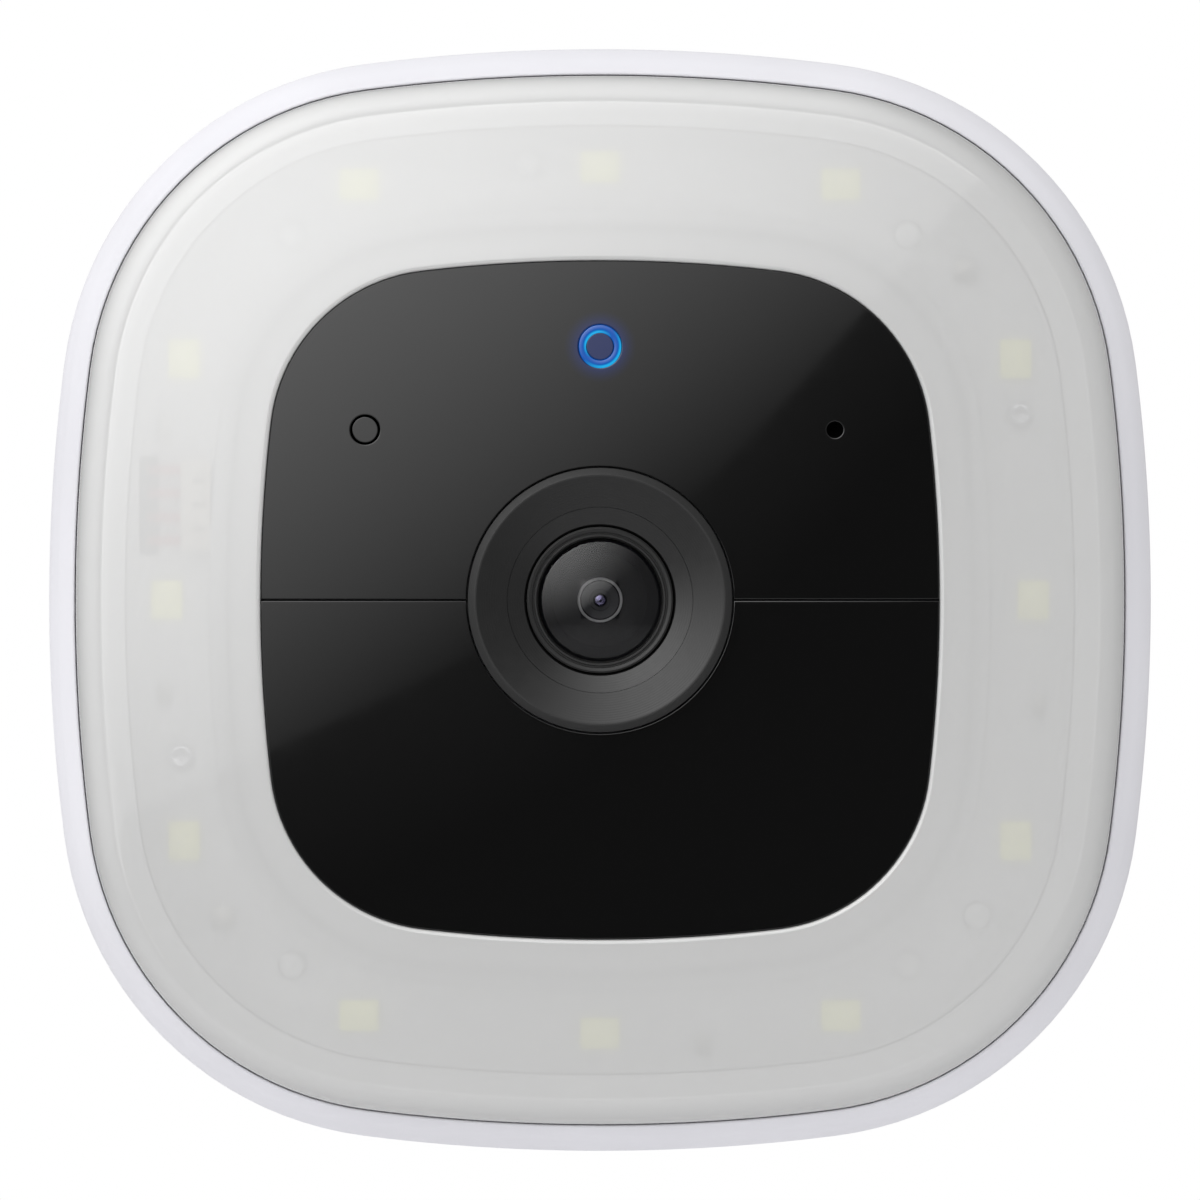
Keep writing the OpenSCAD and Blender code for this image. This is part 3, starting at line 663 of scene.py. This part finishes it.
def ringed(name, colour, roughness, pitch_mm, depth_mm, specular):
    """Satin black with fine turned rings round the lens axis."""
    m = Material(name, colour, roughness, specular=specular)
    away = m.radius_from(head_point(0, 0, 0))
    wave = m.math("SINE", m.math("MULTIPLY", away, 2 * math.pi / pitch_mm))
    m.rough(m.spread(m.noise(0.8, 3.0), roughness - 0.03, roughness + 0.05))
    m.bump(wave, depth_mm)
    return m.block


panel = panel_black()
skin = frosted("frosted_acrylic", 0.66, 0.12, 1.0)
under = frosted("frosted_underside", 0.06, 0.45, 0.0)
bezel_black = ringed("satin_bezel", (0.0075, 0.0075, 0.0075), 0.34, 0.22, 0.0015, 0.39)
# The rim's lighter grey base is painted sheen on the dish's chamfered rim, which is the same satin black
# part.
rim_sheen_black = ringed("satin_rim_painted_sheen", (0.032, 0.032, 0.032), 0.4, 0.22, 0.001, 0.12)
trim_black = ringed("ridged_trim", (0.017, 0.017, 0.017), 0.36, 0.14, 0.003, 0.26)
deep_black = moulded("matt_baffle", (0.006, 0.006, 0.006), 0.6, 0.2, 0.01)
aperture_grey = polished("aperture_grey", (0.78, 0.78, 0.79), 0.4)
cell_grey = polished("cell_grey", (0.20, 0.20, 0.21), 0.4)


def lens_glass(name, alpha):
    """Coated glass over a black barrel: the reflection is what shows, so alpha sets its strength."""
    m = Material(name, (0.002, 0.002, 0.003), 0.04, ior=1.5)
    m.rough(m.spread(m.noise(6.0), 0.03, 0.05))
    m.shader.inputs["Alpha"].default_value = alpha
    return m.block


def coated_element():
    """The element behind the stop, with its violet anti-reflection coating."""
    m = Material("coated_element", (0.72, 0.69, 1.0), 0.2, metallic=1.0)
    m.tint(m.spread(m.noise(1.0), 0.0, 1.0), (0.55, 0.48, 0.95))
    return m.block


def status_light():
    """The light pipe of the status ring: a deep blue glow, with painted cyan highlights on its inner
    edge towards the upper left and its outer edge towards the lower right.
    """
    m = Material("status_light", (0.002, 0.01, 0.05), 0.12)
    away = m.radius_from(head_point(0, STATUS_Y, 0))
    towards = m.node("ShaderNodeVectorMath", operation="DOT_PRODUCT")
    outward = m.node("ShaderNodeVectorMath", operation="SUBTRACT")
    outward.inputs[1].default_value = head_point(0, STATUS_Y, 0)
    up_left = 0.7 / MM
    towards.inputs[1].default_value = (-up_left, 0, up_left)
    m.join(m.coords, outward.inputs[0])
    m.join(outward.outputs[0], towards.inputs[0])
    lean = m.math("DIVIDE", towards.outputs["Value"], away)
    # Painted highlights: the inner edge where it faces the upper left, the outer edge where it faces the
    # lower right.
    inner_highlight_band, outer_highlight_band = m.spread(away, 1.0, 0.0, 1.36, 1.52), m.spread(away, 0.0, 1.0, 1.66, 1.8)
    inner = m.math("MULTIPLY", inner_highlight_band, m.spread(lean, 0.0, 1.0, -0.1, 0.8))
    outer = m.math("MULTIPLY", outer_highlight_band, m.spread(lean, 1.0, 0.0, -0.8, 0.1))
    # The pipe's blue glow, mixed towards the cyan of the painted highlights.
    glow = m.node("ShaderNodeMix", data_type="RGBA")
    glow.inputs[COLOUR_A].default_value = (0.005, 0.085, 0.39, 1)
    glow.inputs[COLOUR_B].default_value = (0.01, 0.40, 0.76, 1)
    m.join(m.math("ADD", inner, outer), glow.inputs[FACTOR])
    m.join(glow.outputs[MIXED], m.shader.inputs["Emission Color"])
    m.shader.inputs["Emission Strength"].default_value = 1.0
    return m.block


glass = lens_glass("coated_glass", 0.55)
inner_glass = lens_glass("coated_glass_rear", 0.12)
violet = coated_element()
status_blue = status_light()


# ---------------------------------------------------------------- head casing


def bezel():
    """The white border: side, bevel, a small lip at the gap line, and the rebate inside."""
    lip = CROWN - 3.1
    seat = CROWN - 8.1
    gap_half = DIFFUSER_HALF + OUTER_GAP
    inner_half, wall_half = 47.1, 45.6
    foot = 50.9
    profile = rounded(
        [
            (inner_half, foot, 0.3, 0),
            (inner_half, SEAM_H + PARTING, 0, 0),
            (HEAD_HALF - 0.05, SEAM_H + PARTING, 0.35, 0),
            (HEAD_HALF, SEAM_H + 2.4, 6.0, 0),
            (HEAD_HALF, lip - 3.4, 5.0, 1),
            (48.9, lip - 1.05, 4.0, 1),
            (gap_half, lip + 0.02, 0.15, 1),
            (gap_half, seat, 0, 1),
            (wall_half, seat, 0, 1),
            (wall_half, foot, 0.3, 0),
        ],
        steps=8,
    )
    return band(profile, head_outline)


def bowl_ring(t, depth=0.0):
    """A ring of the rear housing at angle t of its side, moved inward by depth.

    It is nearly round at the back, and as square as the head at its widest."""
    out = HEAD_HALF - BACK_FLAT_R
    half = BACK_FLAT_R + out * math.sin(t)
    h = BOWL_DEPTH * (1 - math.cos(t))
    square = 0.05 + 0.95 * math.sin(t) ** 1.5
    side_r = half / (1 - square * (1 - HEAD_HALF / HEAD_SIDE_R))
    corner_r = half * (1 - square * (1 - HEAD_CORNER_R / HEAD_HALF))
    length = math.hypot(BOWL_DEPTH * math.sin(t), out * math.cos(t))
    inward = depth * BOWL_DEPTH * math.sin(t) / length
    forward = depth * out * math.cos(t) / length
    loop = squircle(half - inward, side_r - inward, corner_r - inward)
    return [(x, y, h + forward) for x, y in loop]


def rear_shell():
    """The domed rear housing, with rounded rims at the parting line and round its back."""
    rim, back_rim, hole_inset = 0.35, 0.25, 1.7
    n, rim_steps = 56, 4
    end = math.acos(1 - SEAM_H / BOWL_DEPTH)
    stop = math.acos(1 - (SEAM_H - rim) / BOWL_DEPTH)
    back = bowl_ring(0.0)
    rings = []
    for k in range(rim_steps + 1):
        t = math.pi / 2 * k / rim_steps
        scale = 1 - (hole_inset - back_rim * (1 - math.cos(math.pi / 2 - t))) / BACK_FLAT_R
        rings.append([(x * scale, y * scale, back_rim * (1 - math.sin(t))) for x, y, _ in back])
    rings += [bowl_ring(stop * i / n) for i in range(n + 1)]
    top = bowl_ring(stop)
    for k in range(1, rim_steps + 1):
        t = math.pi / 2 * k / rim_steps
        scale = 1 - rim * (1 - math.cos(t)) / HEAD_HALF
        lift = rim * math.sin(t)
        rings.append([(x * scale, y * scale, z + lift) for x, y, z in top])
    rings += [bowl_ring(end * i / n, WALL) for i in range(n, -1, -1)]
    scale = 1 - hole_inset / BACK_FLAT_R
    rings.append([(x * scale, y * scale, WALL) for x, y, _ in back])
    return loft(rings)


def speaker_matrix():
    """Places what faces out of the speaker's opening in the underside of the housing."""
    t = math.acos(1 - SPEAKER_H / BOWL_DEPTH)
    out = HEAD_HALF - BACK_FLAT_R
    half = BACK_FLAT_R + out * math.sin(t)
    lean = math.atan2(BOWL_DEPTH * math.sin(t), -out * math.cos(t))
    return Matrix.Translation((0, -half, SPEAKER_H)) @ Matrix.Rotation(lean, 4, "X")


def in_row(shape):
    shape.verts = [head_point(*v) for v in shape.verts]
    return shape


housing = make("rear_shell", rear_shell(), [white], "head", ["rear_housing"])
mouth_r, flare_r, mouth_depth, clearance = 7, 7.9, 9, 1.5
mouth_profile = [(0, -mouth_depth, 0), (mouth_r, -mouth_depth, 0), (mouth_r, -0.55, 0.2)]
mouth_profile += [(flare_r, clearance, 0), (0, clearance, 0)]
mouth = turned(rounded(mouth_profile), 96)
cut(housing, in_row(mouth.moved(speaker_matrix())))
make("front_border", bezel(), [white], "head", ["front_bezel"])


def grille():
    """The speaker's pierced disc, a little below the housing and slightly crowned."""
    hole_r, pitch, disc_r = 0.5, 1.75, 6.86
    holes = [reverse(circle(hole_r, (0, 0), 20))]
    for ring in (1, 2, 3):
        for i in range(6 * ring):
            a = math.pi / 3 * i / ring
            centre = (pitch * ring * math.cos(a), pitch * ring * math.sin(a))
            holes.append(reverse(circle(hole_r, centre, 20)))
    crowned = lambda x, y: -0.72 - (x * x + y * y) / 300
    return plate(circle(disc_r), holes, crowned, flat(-2.3), edge=0.12, spacing=0.8, steps=2)


mesh_disc = grille().moved(speaker_matrix())
make("speaker_mesh", mesh_disc, [white, white], "head", ["speaker_grille"])

# ---------------------------------------------------------------- floodlight cover


def diffuser():
    """The frosted ring: rolled outer edge, domed face, and a small roll into the panel's hole.

    Slot 0 is the skin, 1 the underside, and 2 the opaque foot and ledge over the tray's walls."""
    edge_r, roll_r = 2.5, 0.4
    seat = CROWN - 8.0
    thick, roll_depth, ledge_drop, foot_half = 2.2, 3.5, 3.2, 33.7
    front_half, roll_half = DIFFUSER_HALF - edge_r, FACE_HALF + INNER_GAP + roll_r
    outer, inner = head_outline(front_half), face_outline(roll_half)
    rings, slots = [], []

    def ring(outline, height, slot):
        rings.append([(x, y, height - sag(x, y)) for x, y in outline])
        slots.append(slot)

    crown = DIFFUSER_CROWN
    ring(head_outline(DIFFUSER_HALF), seat, 0)
    for h in (0.3, 0.6):
        ring(head_outline(DIFFUSER_HALF), seat + h * (crown - edge_r - seat), 0)
    for k in range(13):
        t = math.pi / 2 * k / 12
        ring(head_outline(front_half + edge_r * math.cos(t)), crown - edge_r * (1 - math.sin(t)), 0)
    for k in range(1, 18):
        ring(mixed(outer, inner, k / 18), crown, 0)
    for k in range(9):
        t = math.pi / 2 * k / 8
        ring(face_outline(roll_half - roll_r * math.sin(t)), crown - roll_r * (1 - math.cos(t)), 0)
    ring(face_outline(FACE_HALF + INNER_GAP), crown - roll_depth, 2)
    ring(face_outline(foot_half), crown - roll_depth, 2)
    under_out, under_in = head_outline(DIFFUSER_HALF - 4.4), face_outline(foot_half + 0.2)
    skirt = head_outline(DIFFUSER_HALF - 2.1)
    for k in range(13):
        ring(mixed(under_in, under_out, k / 12), crown - thick, 1)
    ring(under_out, crown - thick - ledge_drop, 2)
    ring(skirt, crown - thick - ledge_drop, 2)
    ring(skirt, seat, 0)
    return loft(rings, slots)


make("diffuser_ring", diffuser(), [skin, under, foot_white], "head", ["diffuser"])

# ---------------------------------------------------------------- face


def half_face(side, n=40):
    """Outline of the upper (side 1) or lower (side -1) half of the black face."""
    gap = 0.08
    half = FACE_HALF - 0.03
    full = [p for p in face_outline(half) if side * p[1] > gap + 0.05]
    full.sort(key=lambda p: math.atan2(p[1], p[0]))
    edge_x = half - gap * gap / (2 * FACE_SIDE_R)
    reach = math.sqrt(LENS_HOLE_R**2 - gap**2)
    first = math.asin(gap / LENS_HOLE_R)
    arc = []
    for i in range(n + 1):
        a = math.pi - first - (math.pi - 2 * first) * i / n
        arc.append((LENS_HOLE_R * math.cos(a), side * LENS_HOLE_R * math.sin(a)))
    if side > 0:
        return [(edge_x, gap)] + full + [(-edge_x, gap)] + arc
    return [(-edge_x, -gap)] + full + [(edge_x, -gap)] + reverse(arc)


def face_piece(name, side, holes, swaps):
    thick = 2.0
    plate_shape = plate(half_face(side), holes, dome(CROWN), dome(CROWN - thick), edge=0.09, spacing=2.2)
    make(name, plate_shape, [panel, panel], "head", swaps, front=dome_normal)


light_spot = (-SIDE_DOT[0], SIDE_DOT[1])
upper_holes = [
    reverse(circle(1.98, (0, STATUS_Y), 72)),
    reverse(circle(1.36, light_spot, 56)),
    reverse(circle(0.76, SIDE_DOT, 48)),
]
face_piece("upper_face", 1, upper_holes, ["face_panel"])
face_piece("lower_face", -1, [], ["pir_window"])


def spot(shape, where):
    return shape.moved(Matrix.Translation((where[0], where[1], 0)))


def status_ring():
    """The light pipe's ring, just below the face."""
    top, foot = CROWN - sag(0, STATUS_Y) - 0.04, 62.3
    inner_r, outer_r = 1.27, 1.93
    profile = [(inner_r, 67.9, 0), (inner_r, top, 0.12), (outer_r, top, 0.12)]
    profile += [(outer_r, foot, 0), (inner_r, foot, 0)]
    return turned(rounded(profile), 120)


def flush_disc(name, r, centre, base, swaps):
    """A small disc that continues the domed face."""
    shape = plate(circle(r, centre, 72), [], dome(CROWN - 0.03), flat(base), edge=0.07, spacing=0.5)
    make(name, shape, [panel, panel], "head", swaps, front=dome_normal)


light_pipe = spot(status_ring(), (0, STATUS_Y))
make("status_light_ring", light_pipe, [status_blue], "head", ["status_ring"])
flush_disc("status_light_cap", 1.22, (0, STATUS_Y), 67.83, ["status_cap"])
flush_disc("light_window", 1.16, light_spot, 62.3, ["light_sensor_window"])

# ---------------------------------------------------------------- lens


def lens_dish():
    """The dished bezel: chamfered rim, concave cone, and a fine step near its inner edge."""
    profile = rounded(
        [
            (6.72, 64.4, 0),
            (LENS_RIM_R, 64.4, 0),
            (LENS_RIM_R, 68.05, 0),
            (11.9, 68.4, 0),
            (11.95, 69.95, 0.18),
            (11.35, 70.7, 0.12),
            (11.18, 70.66, 0.05),
            (8.42, 69.72, 0.06),
            (8.38, 69.6, 0.04),
            (6.86, 69.06, 0.1),
            (6.72, 68.7, 0.1),
        ]
    )
    chamfer_top = 70.69
    # The outer rim and its chamfer take the lighter grey of painted sheen.
    slots = [1 if u > LENS_RIM_R and v < chamfer_top else 0 for u, v, _ in profile]
    return turned(profile, 224, slots)


def lens_trim():
    """The ridged ring between the bezel and the glass."""
    return turned(
        rounded(
            [
                (5.62, 65.6, 0),
                (6.62, 65.6, 0),
                (6.62, 68.98, 0.06),
                (6.46, 69.12, 0.05),
                (6.16, 69.02, 0.06),
                (6.12, 68.82, 0.04),
                (5.98, 68.82, 0.04),
                (5.94, 68.98, 0.05),
                (5.76, 68.98, 0.06),
                (5.62, 68.5, 0.06),
            ]
        ),
        192,
    )


def front_glass(n=22):
    """The domed front lens, hollowed behind."""
    outer_r, inner_r, rim, foot = 11.0, 6.0, 5.5, 65.6
    outer_z, inner_z = 70.0 - outer_r, 61.4
    profile = [(0, outer_z + outer_r, 0)]
    top = math.asin(rim / outer_r)
    for i in range(1, n + 1):
        t = top * i / n
        profile.append((outer_r * math.sin(t), outer_z + outer_r * math.cos(t), 0))
    profile.append((rim, foot, 0))
    rear = len(profile)
    hollow = math.acos((foot - inner_z) / inner_r)
    for i in range(n + 1):
        t = hollow * (1 - i / n)
        profile.append((inner_r * math.sin(t), inner_z + inner_r * math.cos(t), 0))
    slots = [0] * rear + [1] * (len(profile) - rear)
    return turned(profile, 160, slots)


def rear_element():
    """The blackened cell behind the stop, with the small coated element in its middle."""
    profile = [(0, 61, 0), (4.5, 61, 0), (4.5, 62.6, 0.1), (4.2, 62.9, 0.1), (1.78, 63.9, 0.03)]
    profile += [(1.72, 63.97, 0.02), (1.0, 63.63, 0.04), (0.92, 63.42, 0.03), (0.6, 63.4, 0.03)]
    profile = rounded(profile)
    slots = [2 if 0.9 < u < 1.8 else 0 for u, _, _ in profile]
    sphere_z, half_angle, steps = 63.08, math.radians(33), 12
    for i in range(steps + 1):
        t = half_angle * (1 - i / steps)
        profile.append((math.sin(t), sphere_z + math.cos(t), 0))
        slots.append(1)
    return turned(profile, 96, slots)


def stop_ring():
    """The grey ring on the stop, which shows through the dome as a thin circle."""
    inner_r, outer_r, foot, top = 1.81, 2.05, 65.05, 65.3
    corners = [(inner_r, foot, 0), (outer_r, foot, 0), (outer_r, top, 0.05)]
    corners += [(1.99, 65.35, 0.03), (inner_r, top, 0.04)]
    return turned(rounded(corners), 128)


element_looks = [deep_black, violet, cell_grey]
make("rear_element", rear_element(), element_looks, "head", ["inner_lens"])
make("stop_ring", stop_ring(), [aperture_grey], "head", ["aperture_ring"])
make("lens_dish", lens_dish(), [bezel_black, rim_sheen_black], "head", ["lens_bezel"])
make("lens_trim", lens_trim(), [trim_black], "head", ["lens_retainer"])
make("front_glass", front_glass(), [glass, inner_glass], "head", ["front_lens"])

# ---------------------------------------------------------------- CAD nodes that stay

CAD_LOOKS = {
    white: ["back_plate", "wall_plate", "lock_collar"],
    soft_grey: ["usb_cover", "sync_button"],
    black_nylon: ["lock_nut"],
    deep_black: ["lens_barrel", "aperture_plate", "lens_holder", "mic_boot", "face_board_parts"],
    steel: ["ball_stud", "housing_screws", "led_board_screws", "usb_socket", "pir_sensor"],
    brass: ["thread_insert"],
    rubber: ["main_seal", "speaker_gasket", "button_seal"],
    cup_nylon: ["friction_cup"],
    frame_nylon: ["chassis", "face_frame", "battery_tray"],
    tray_white: ["light_tray"],
    white_board: ["led_board"],
    green_board: ["main_board", "sensor_board", "face_board", "pir_board", "io_board"],
    phosphor: ["led_chips"],
    part_metal: ["led_board_parts", "main_board_parts", "sync_switch"],
    connector_nylon: ["led_connector"],
    sensor_glass: ["image_sensor"],
    epoxy: ["infrared_leds"],
    red_wire: ["led_lead", "battery_lead"],
    copper_film: ["wifi_antenna"],
    cell_wrap: ["battery_cells"],
    speaker_black: ["speaker"],
}
USUAL_EDGE = 0.12
OTHER_EDGES = {
    "wall_plate": 0.5,
    "lock_collar": 0.35,
    "lock_nut": 0.3,
    "back_plate": 0.2,
    "usb_cover": 0.2,
    "led_chips": 0.04,
    "led_board_parts": 0.04,
    "led_board_screws": 0.04,
    "aperture_plate": 0.04,
    "wifi_antenna": 0.04,
}
for look, names in CAD_LOOKS.items():
    for node_name in names:
        soften(node_name, look, OTHER_EDGES.get(node_name, USUAL_EDGE))

# ---------------------------------------------------------------- studio

CARD_HALF = 75
DARK_CONE, DARK_CONE_EDGE = math.radians(13), math.radians(19)


def emitter(name, strength_of):
    """An emission material whose strength comes from the piece's own coordinates."""
    m = Material(name, (0, 0, 0), 1.0)
    glow = m.node("ShaderNodeEmission")
    strength_of(m, glow)
    m.join(glow.outputs[0], m.tree.nodes["Material Output"].inputs["Surface"])
    return m.block


def reflection_card():
    """A softbox that only gloss sees. Its curved lower edge crosses the face diagonally.

    A point of the face reflects the point of the card that lies `scale` times as far out."""
    reach = 1.0
    scale = 1 + 2 * reach / (DOME_R * MM) + reach / CAMERA_DISTANCE
    y = -(HEAD_Z + CROWN) * MM - reach
    half = CARD_HALF * MM * scale
    mesh = bpy.data.meshes.new("softbox_card")
    corners = [(-half, y, -half), (half, y, -half), (half, y, half), (-half, y, half)]
    mesh.from_pydata(corners, [], [[0, 1, 2, 3]])

    def strength(m, glow):
        face = m.node("ShaderNodeVectorMath", operation="SCALE")
        face.inputs["Scale"].default_value = 1 / (MM * scale)
        parts = m.node("ShaderNodeSeparateXYZ")
        m.join(m.coords, face.inputs[0])
        m.join(face.outputs[0], parts.inputs[0])
        x, z = parts.outputs["X"], parts.outputs["Z"]
        bend_x, bend_r, slope, curve, lift = 2.8, 12.0, 0.815, 0.385, 0.45
        along = m.math("SUBTRACT", x, bend_x)
        bend = m.math("SQRT", m.math("ADD", m.math("MULTIPLY", along, along), bend_r**2))
        edge = m.math("ADD", m.math("MULTIPLY", along, slope), m.math("MULTIPLY", bend, curve))
        above = m.math("ADD", m.math("SUBTRACT", z, edge), lift)
        up_left = m.math("SUBTRACT", m.math("MULTIPLY", z, 1.4), x)
        sheen = m.spread(up_left, 0.05, 3.9, 1.5, 100.0)
        lit = m.math("MULTIPLY", sheen, m.math("GREATER_THAN", above, 0.0))
        haze = m.spread(above, 0.0, 0.1, -16.0, 0.0)
        spill = m.math("MULTIPLY", haze, m.math("LESS_THAN", above, 0.0))
        m.join(m.math("ADD", lit, spill), glow.inputs["Strength"])

    mesh.materials.append(emitter("softbox_glow", strength))
    card = bpy.data.objects.new("softbox_card", mesh)
    bpy.context.scene.collection.objects.link(card)
    card.visible_camera = card.visible_diffuse = card.visible_shadow = False
    card.visible_transmission = False


def area_light(name, direction, distance, size, radiance):
    """A square softbox, turned to the head. Radiance is relative to a white page's."""
    target = Vector((0, -0.1, 0))
    data = bpy.data.lights.new(name, "AREA")
    data.shape = "SQUARE"
    data.size = size
    data.energy = radiance * math.pi * size * size
    lamp = bpy.data.objects.new(name, data)
    away = Vector(direction).normalized()
    lamp.location = target + away * distance
    lamp.rotation_mode = "QUATERNION"
    lamp.rotation_quaternion = away.to_track_quat("Z", "Y")
    lamp.visible_camera = lamp.visible_glossy = False
    bpy.context.scene.collection.objects.link(lamp)


def studio_world():
    """White to the camera. As light, it is dimmer to the lower right and from behind the head.

    Gloss sees a brighter upper left, and a dark cone behind the camera."""
    world = bpy.data.worlds.new("studio")
    world.use_nodes = True
    bpy.context.scene.world = world
    tree = world.node_tree
    tree.nodes.clear()

    def node(kind, **fields):
        made = tree.nodes.new(kind)
        for key, value in fields.items():
            setattr(made, key, value)
        return made

    def dot(vector):
        made = node("ShaderNodeVectorMath", operation="DOT_PRODUCT")
        made.inputs[1].default_value = Vector(vector).normalized()
        tree.links.new(sky.outputs["Generated"], made.inputs[0])
        return made.outputs["Value"]

    def ramp(value, start, stop, low, high, kind="SMOOTHSTEP"):
        made = node("ShaderNodeMapRange", interpolation_type=kind)
        for key, number in zip(("From Min", "From Max", "To Min", "To Max"), (start, stop, low, high)):
            made.inputs[key].default_value = number
        tree.links.new(value, made.inputs["Value"])
        return made.outputs[0]

    def blend(condition, a, b):
        made = node("ShaderNodeMix", data_type="FLOAT")
        tree.links.new(condition, made.inputs[0])
        tree.links.new(a, made.inputs[2])
        tree.links.new(b, made.inputs[3])
        return made.outputs[0]

    sky, seen = node("ShaderNodeTexCoord"), node("ShaderNodeLightPath")
    front_light = ramp(dot((-0.45, -0.3, 1)), -0.8, 0.8, 0.825, 0.96)
    back_shade = ramp(dot((0.5, 1, -0.6)), 0.1, 0.95, 1.0, 0.62)
    soft_light = node("ShaderNodeMath", operation="MULTIPLY")
    tree.links.new(front_light, soft_light.inputs[0])
    tree.links.new(back_shade, soft_light.inputs[1])
    soft = soft_light.outputs[0]
    up_left = ramp(dot((-0.58, -0.27, 0.77)), 0.2, 1.0, 0.0, 1.0, "LINEAR")
    shaped = node("ShaderNodeMath", operation="POWER")
    shaped.inputs[1].default_value = 1.8
    tree.links.new(up_left, shaped.inputs[0])
    gloss = ramp(shaped.outputs[0], 0.0, 1.0, 0.4, 5.4, "LINEAR")
    cone = ramp(dot((0, -1, 0)), math.cos(DARK_CONE_EDGE), math.cos(DARK_CONE), 1.0, 0.10)
    gloss_light = node("ShaderNodeMath", operation="MULTIPLY")
    tree.links.new(gloss, gloss_light.inputs[0])
    tree.links.new(cone, gloss_light.inputs[1])
    light = blend(seen.outputs["Is Glossy Ray"], soft, gloss_light.outputs[0])
    lamp, backdrop = node("ShaderNodeBackground"), node("ShaderNodeBackground")
    tree.links.new(light, lamp.inputs["Strength"])
    for shader in (lamp, backdrop):
        shader.inputs["Color"].default_value = (1, 1, 1, 1)
    mix = node("ShaderNodeMixShader")
    tree.links.new(seen.outputs["Is Camera Ray"], mix.inputs[0])
    tree.links.new(lamp.outputs[0], mix.inputs[1])
    tree.links.new(backdrop.outputs[0], mix.inputs[2])
    out = node("ShaderNodeOutputWorld")
    tree.links.new(mix.outputs[0], out.inputs["Surface"])


def floor():
    """A pale floor well below the head. It fades out into the white, and isn't seen from below."""
    radius, height = 0.6, -0.16
    fade_start, fade_end = 0.3, 0.55
    mesh = bpy.data.meshes.new("floor")
    rim = circle(radius)
    mesh.from_pydata([(x, y - 0.05, height) for x, y in rim], [], [list(range(len(rim)))])
    m = Material("floor", (0.86, 0.86, 0.87), 0.8)
    m.tint(m.spread(m.noise(60.0), 0.0, 1.0), (0.84, 0.84, 0.85))
    length = m.node("ShaderNodeVectorMath", operation="LENGTH")
    flatten = m.node("ShaderNodeVectorMath", operation="MULTIPLY")
    flatten.inputs[1].default_value = (1, 1, 0)
    m.join(m.coords, flatten.inputs[0])
    m.join(flatten.outputs[0], length.inputs[0])
    fade = m.spread(length.outputs["Value"], 1.0, 0.0, fade_start, fade_end)
    below = m.node("ShaderNodeNewGeometry").outputs["Backfacing"]
    m.join(m.math("SUBTRACT", fade, below, clamp=True), m.shader.inputs["Alpha"])
    mesh.materials.append(m.block)
    disc = bpy.data.objects.new("floor", mesh)
    bpy.context.scene.collection.objects.link(disc)


def camera():
    """Square on to the face, from far enough away to show almost no perspective."""
    framed, sensor = 0.10903, 36.0
    widest_h = 58.0
    widest = -(HEAD_Z + widest_h) * MM
    data = bpy.data.cameras.new("camera")
    data.sensor_width = sensor
    data.lens = sensor * CAMERA_DISTANCE / framed
    data.clip_end = 20.0
    eye = bpy.data.objects.new("camera", data)
    eye.location = (0, widest - CAMERA_DISTANCE, 0)
    eye.rotation_euler = (math.pi / 2, 0, 0)
    bpy.context.scene.collection.objects.link(eye)
    bpy.context.scene.camera = eye


bpy.context.scene.view_settings.view_transform = "Standard"
studio_world()
reflection_card()
area_light("key", (-1.0, -1.25, 1.0), distance=0.6, size=0.4, radiance=1.5)
floor()
camera()
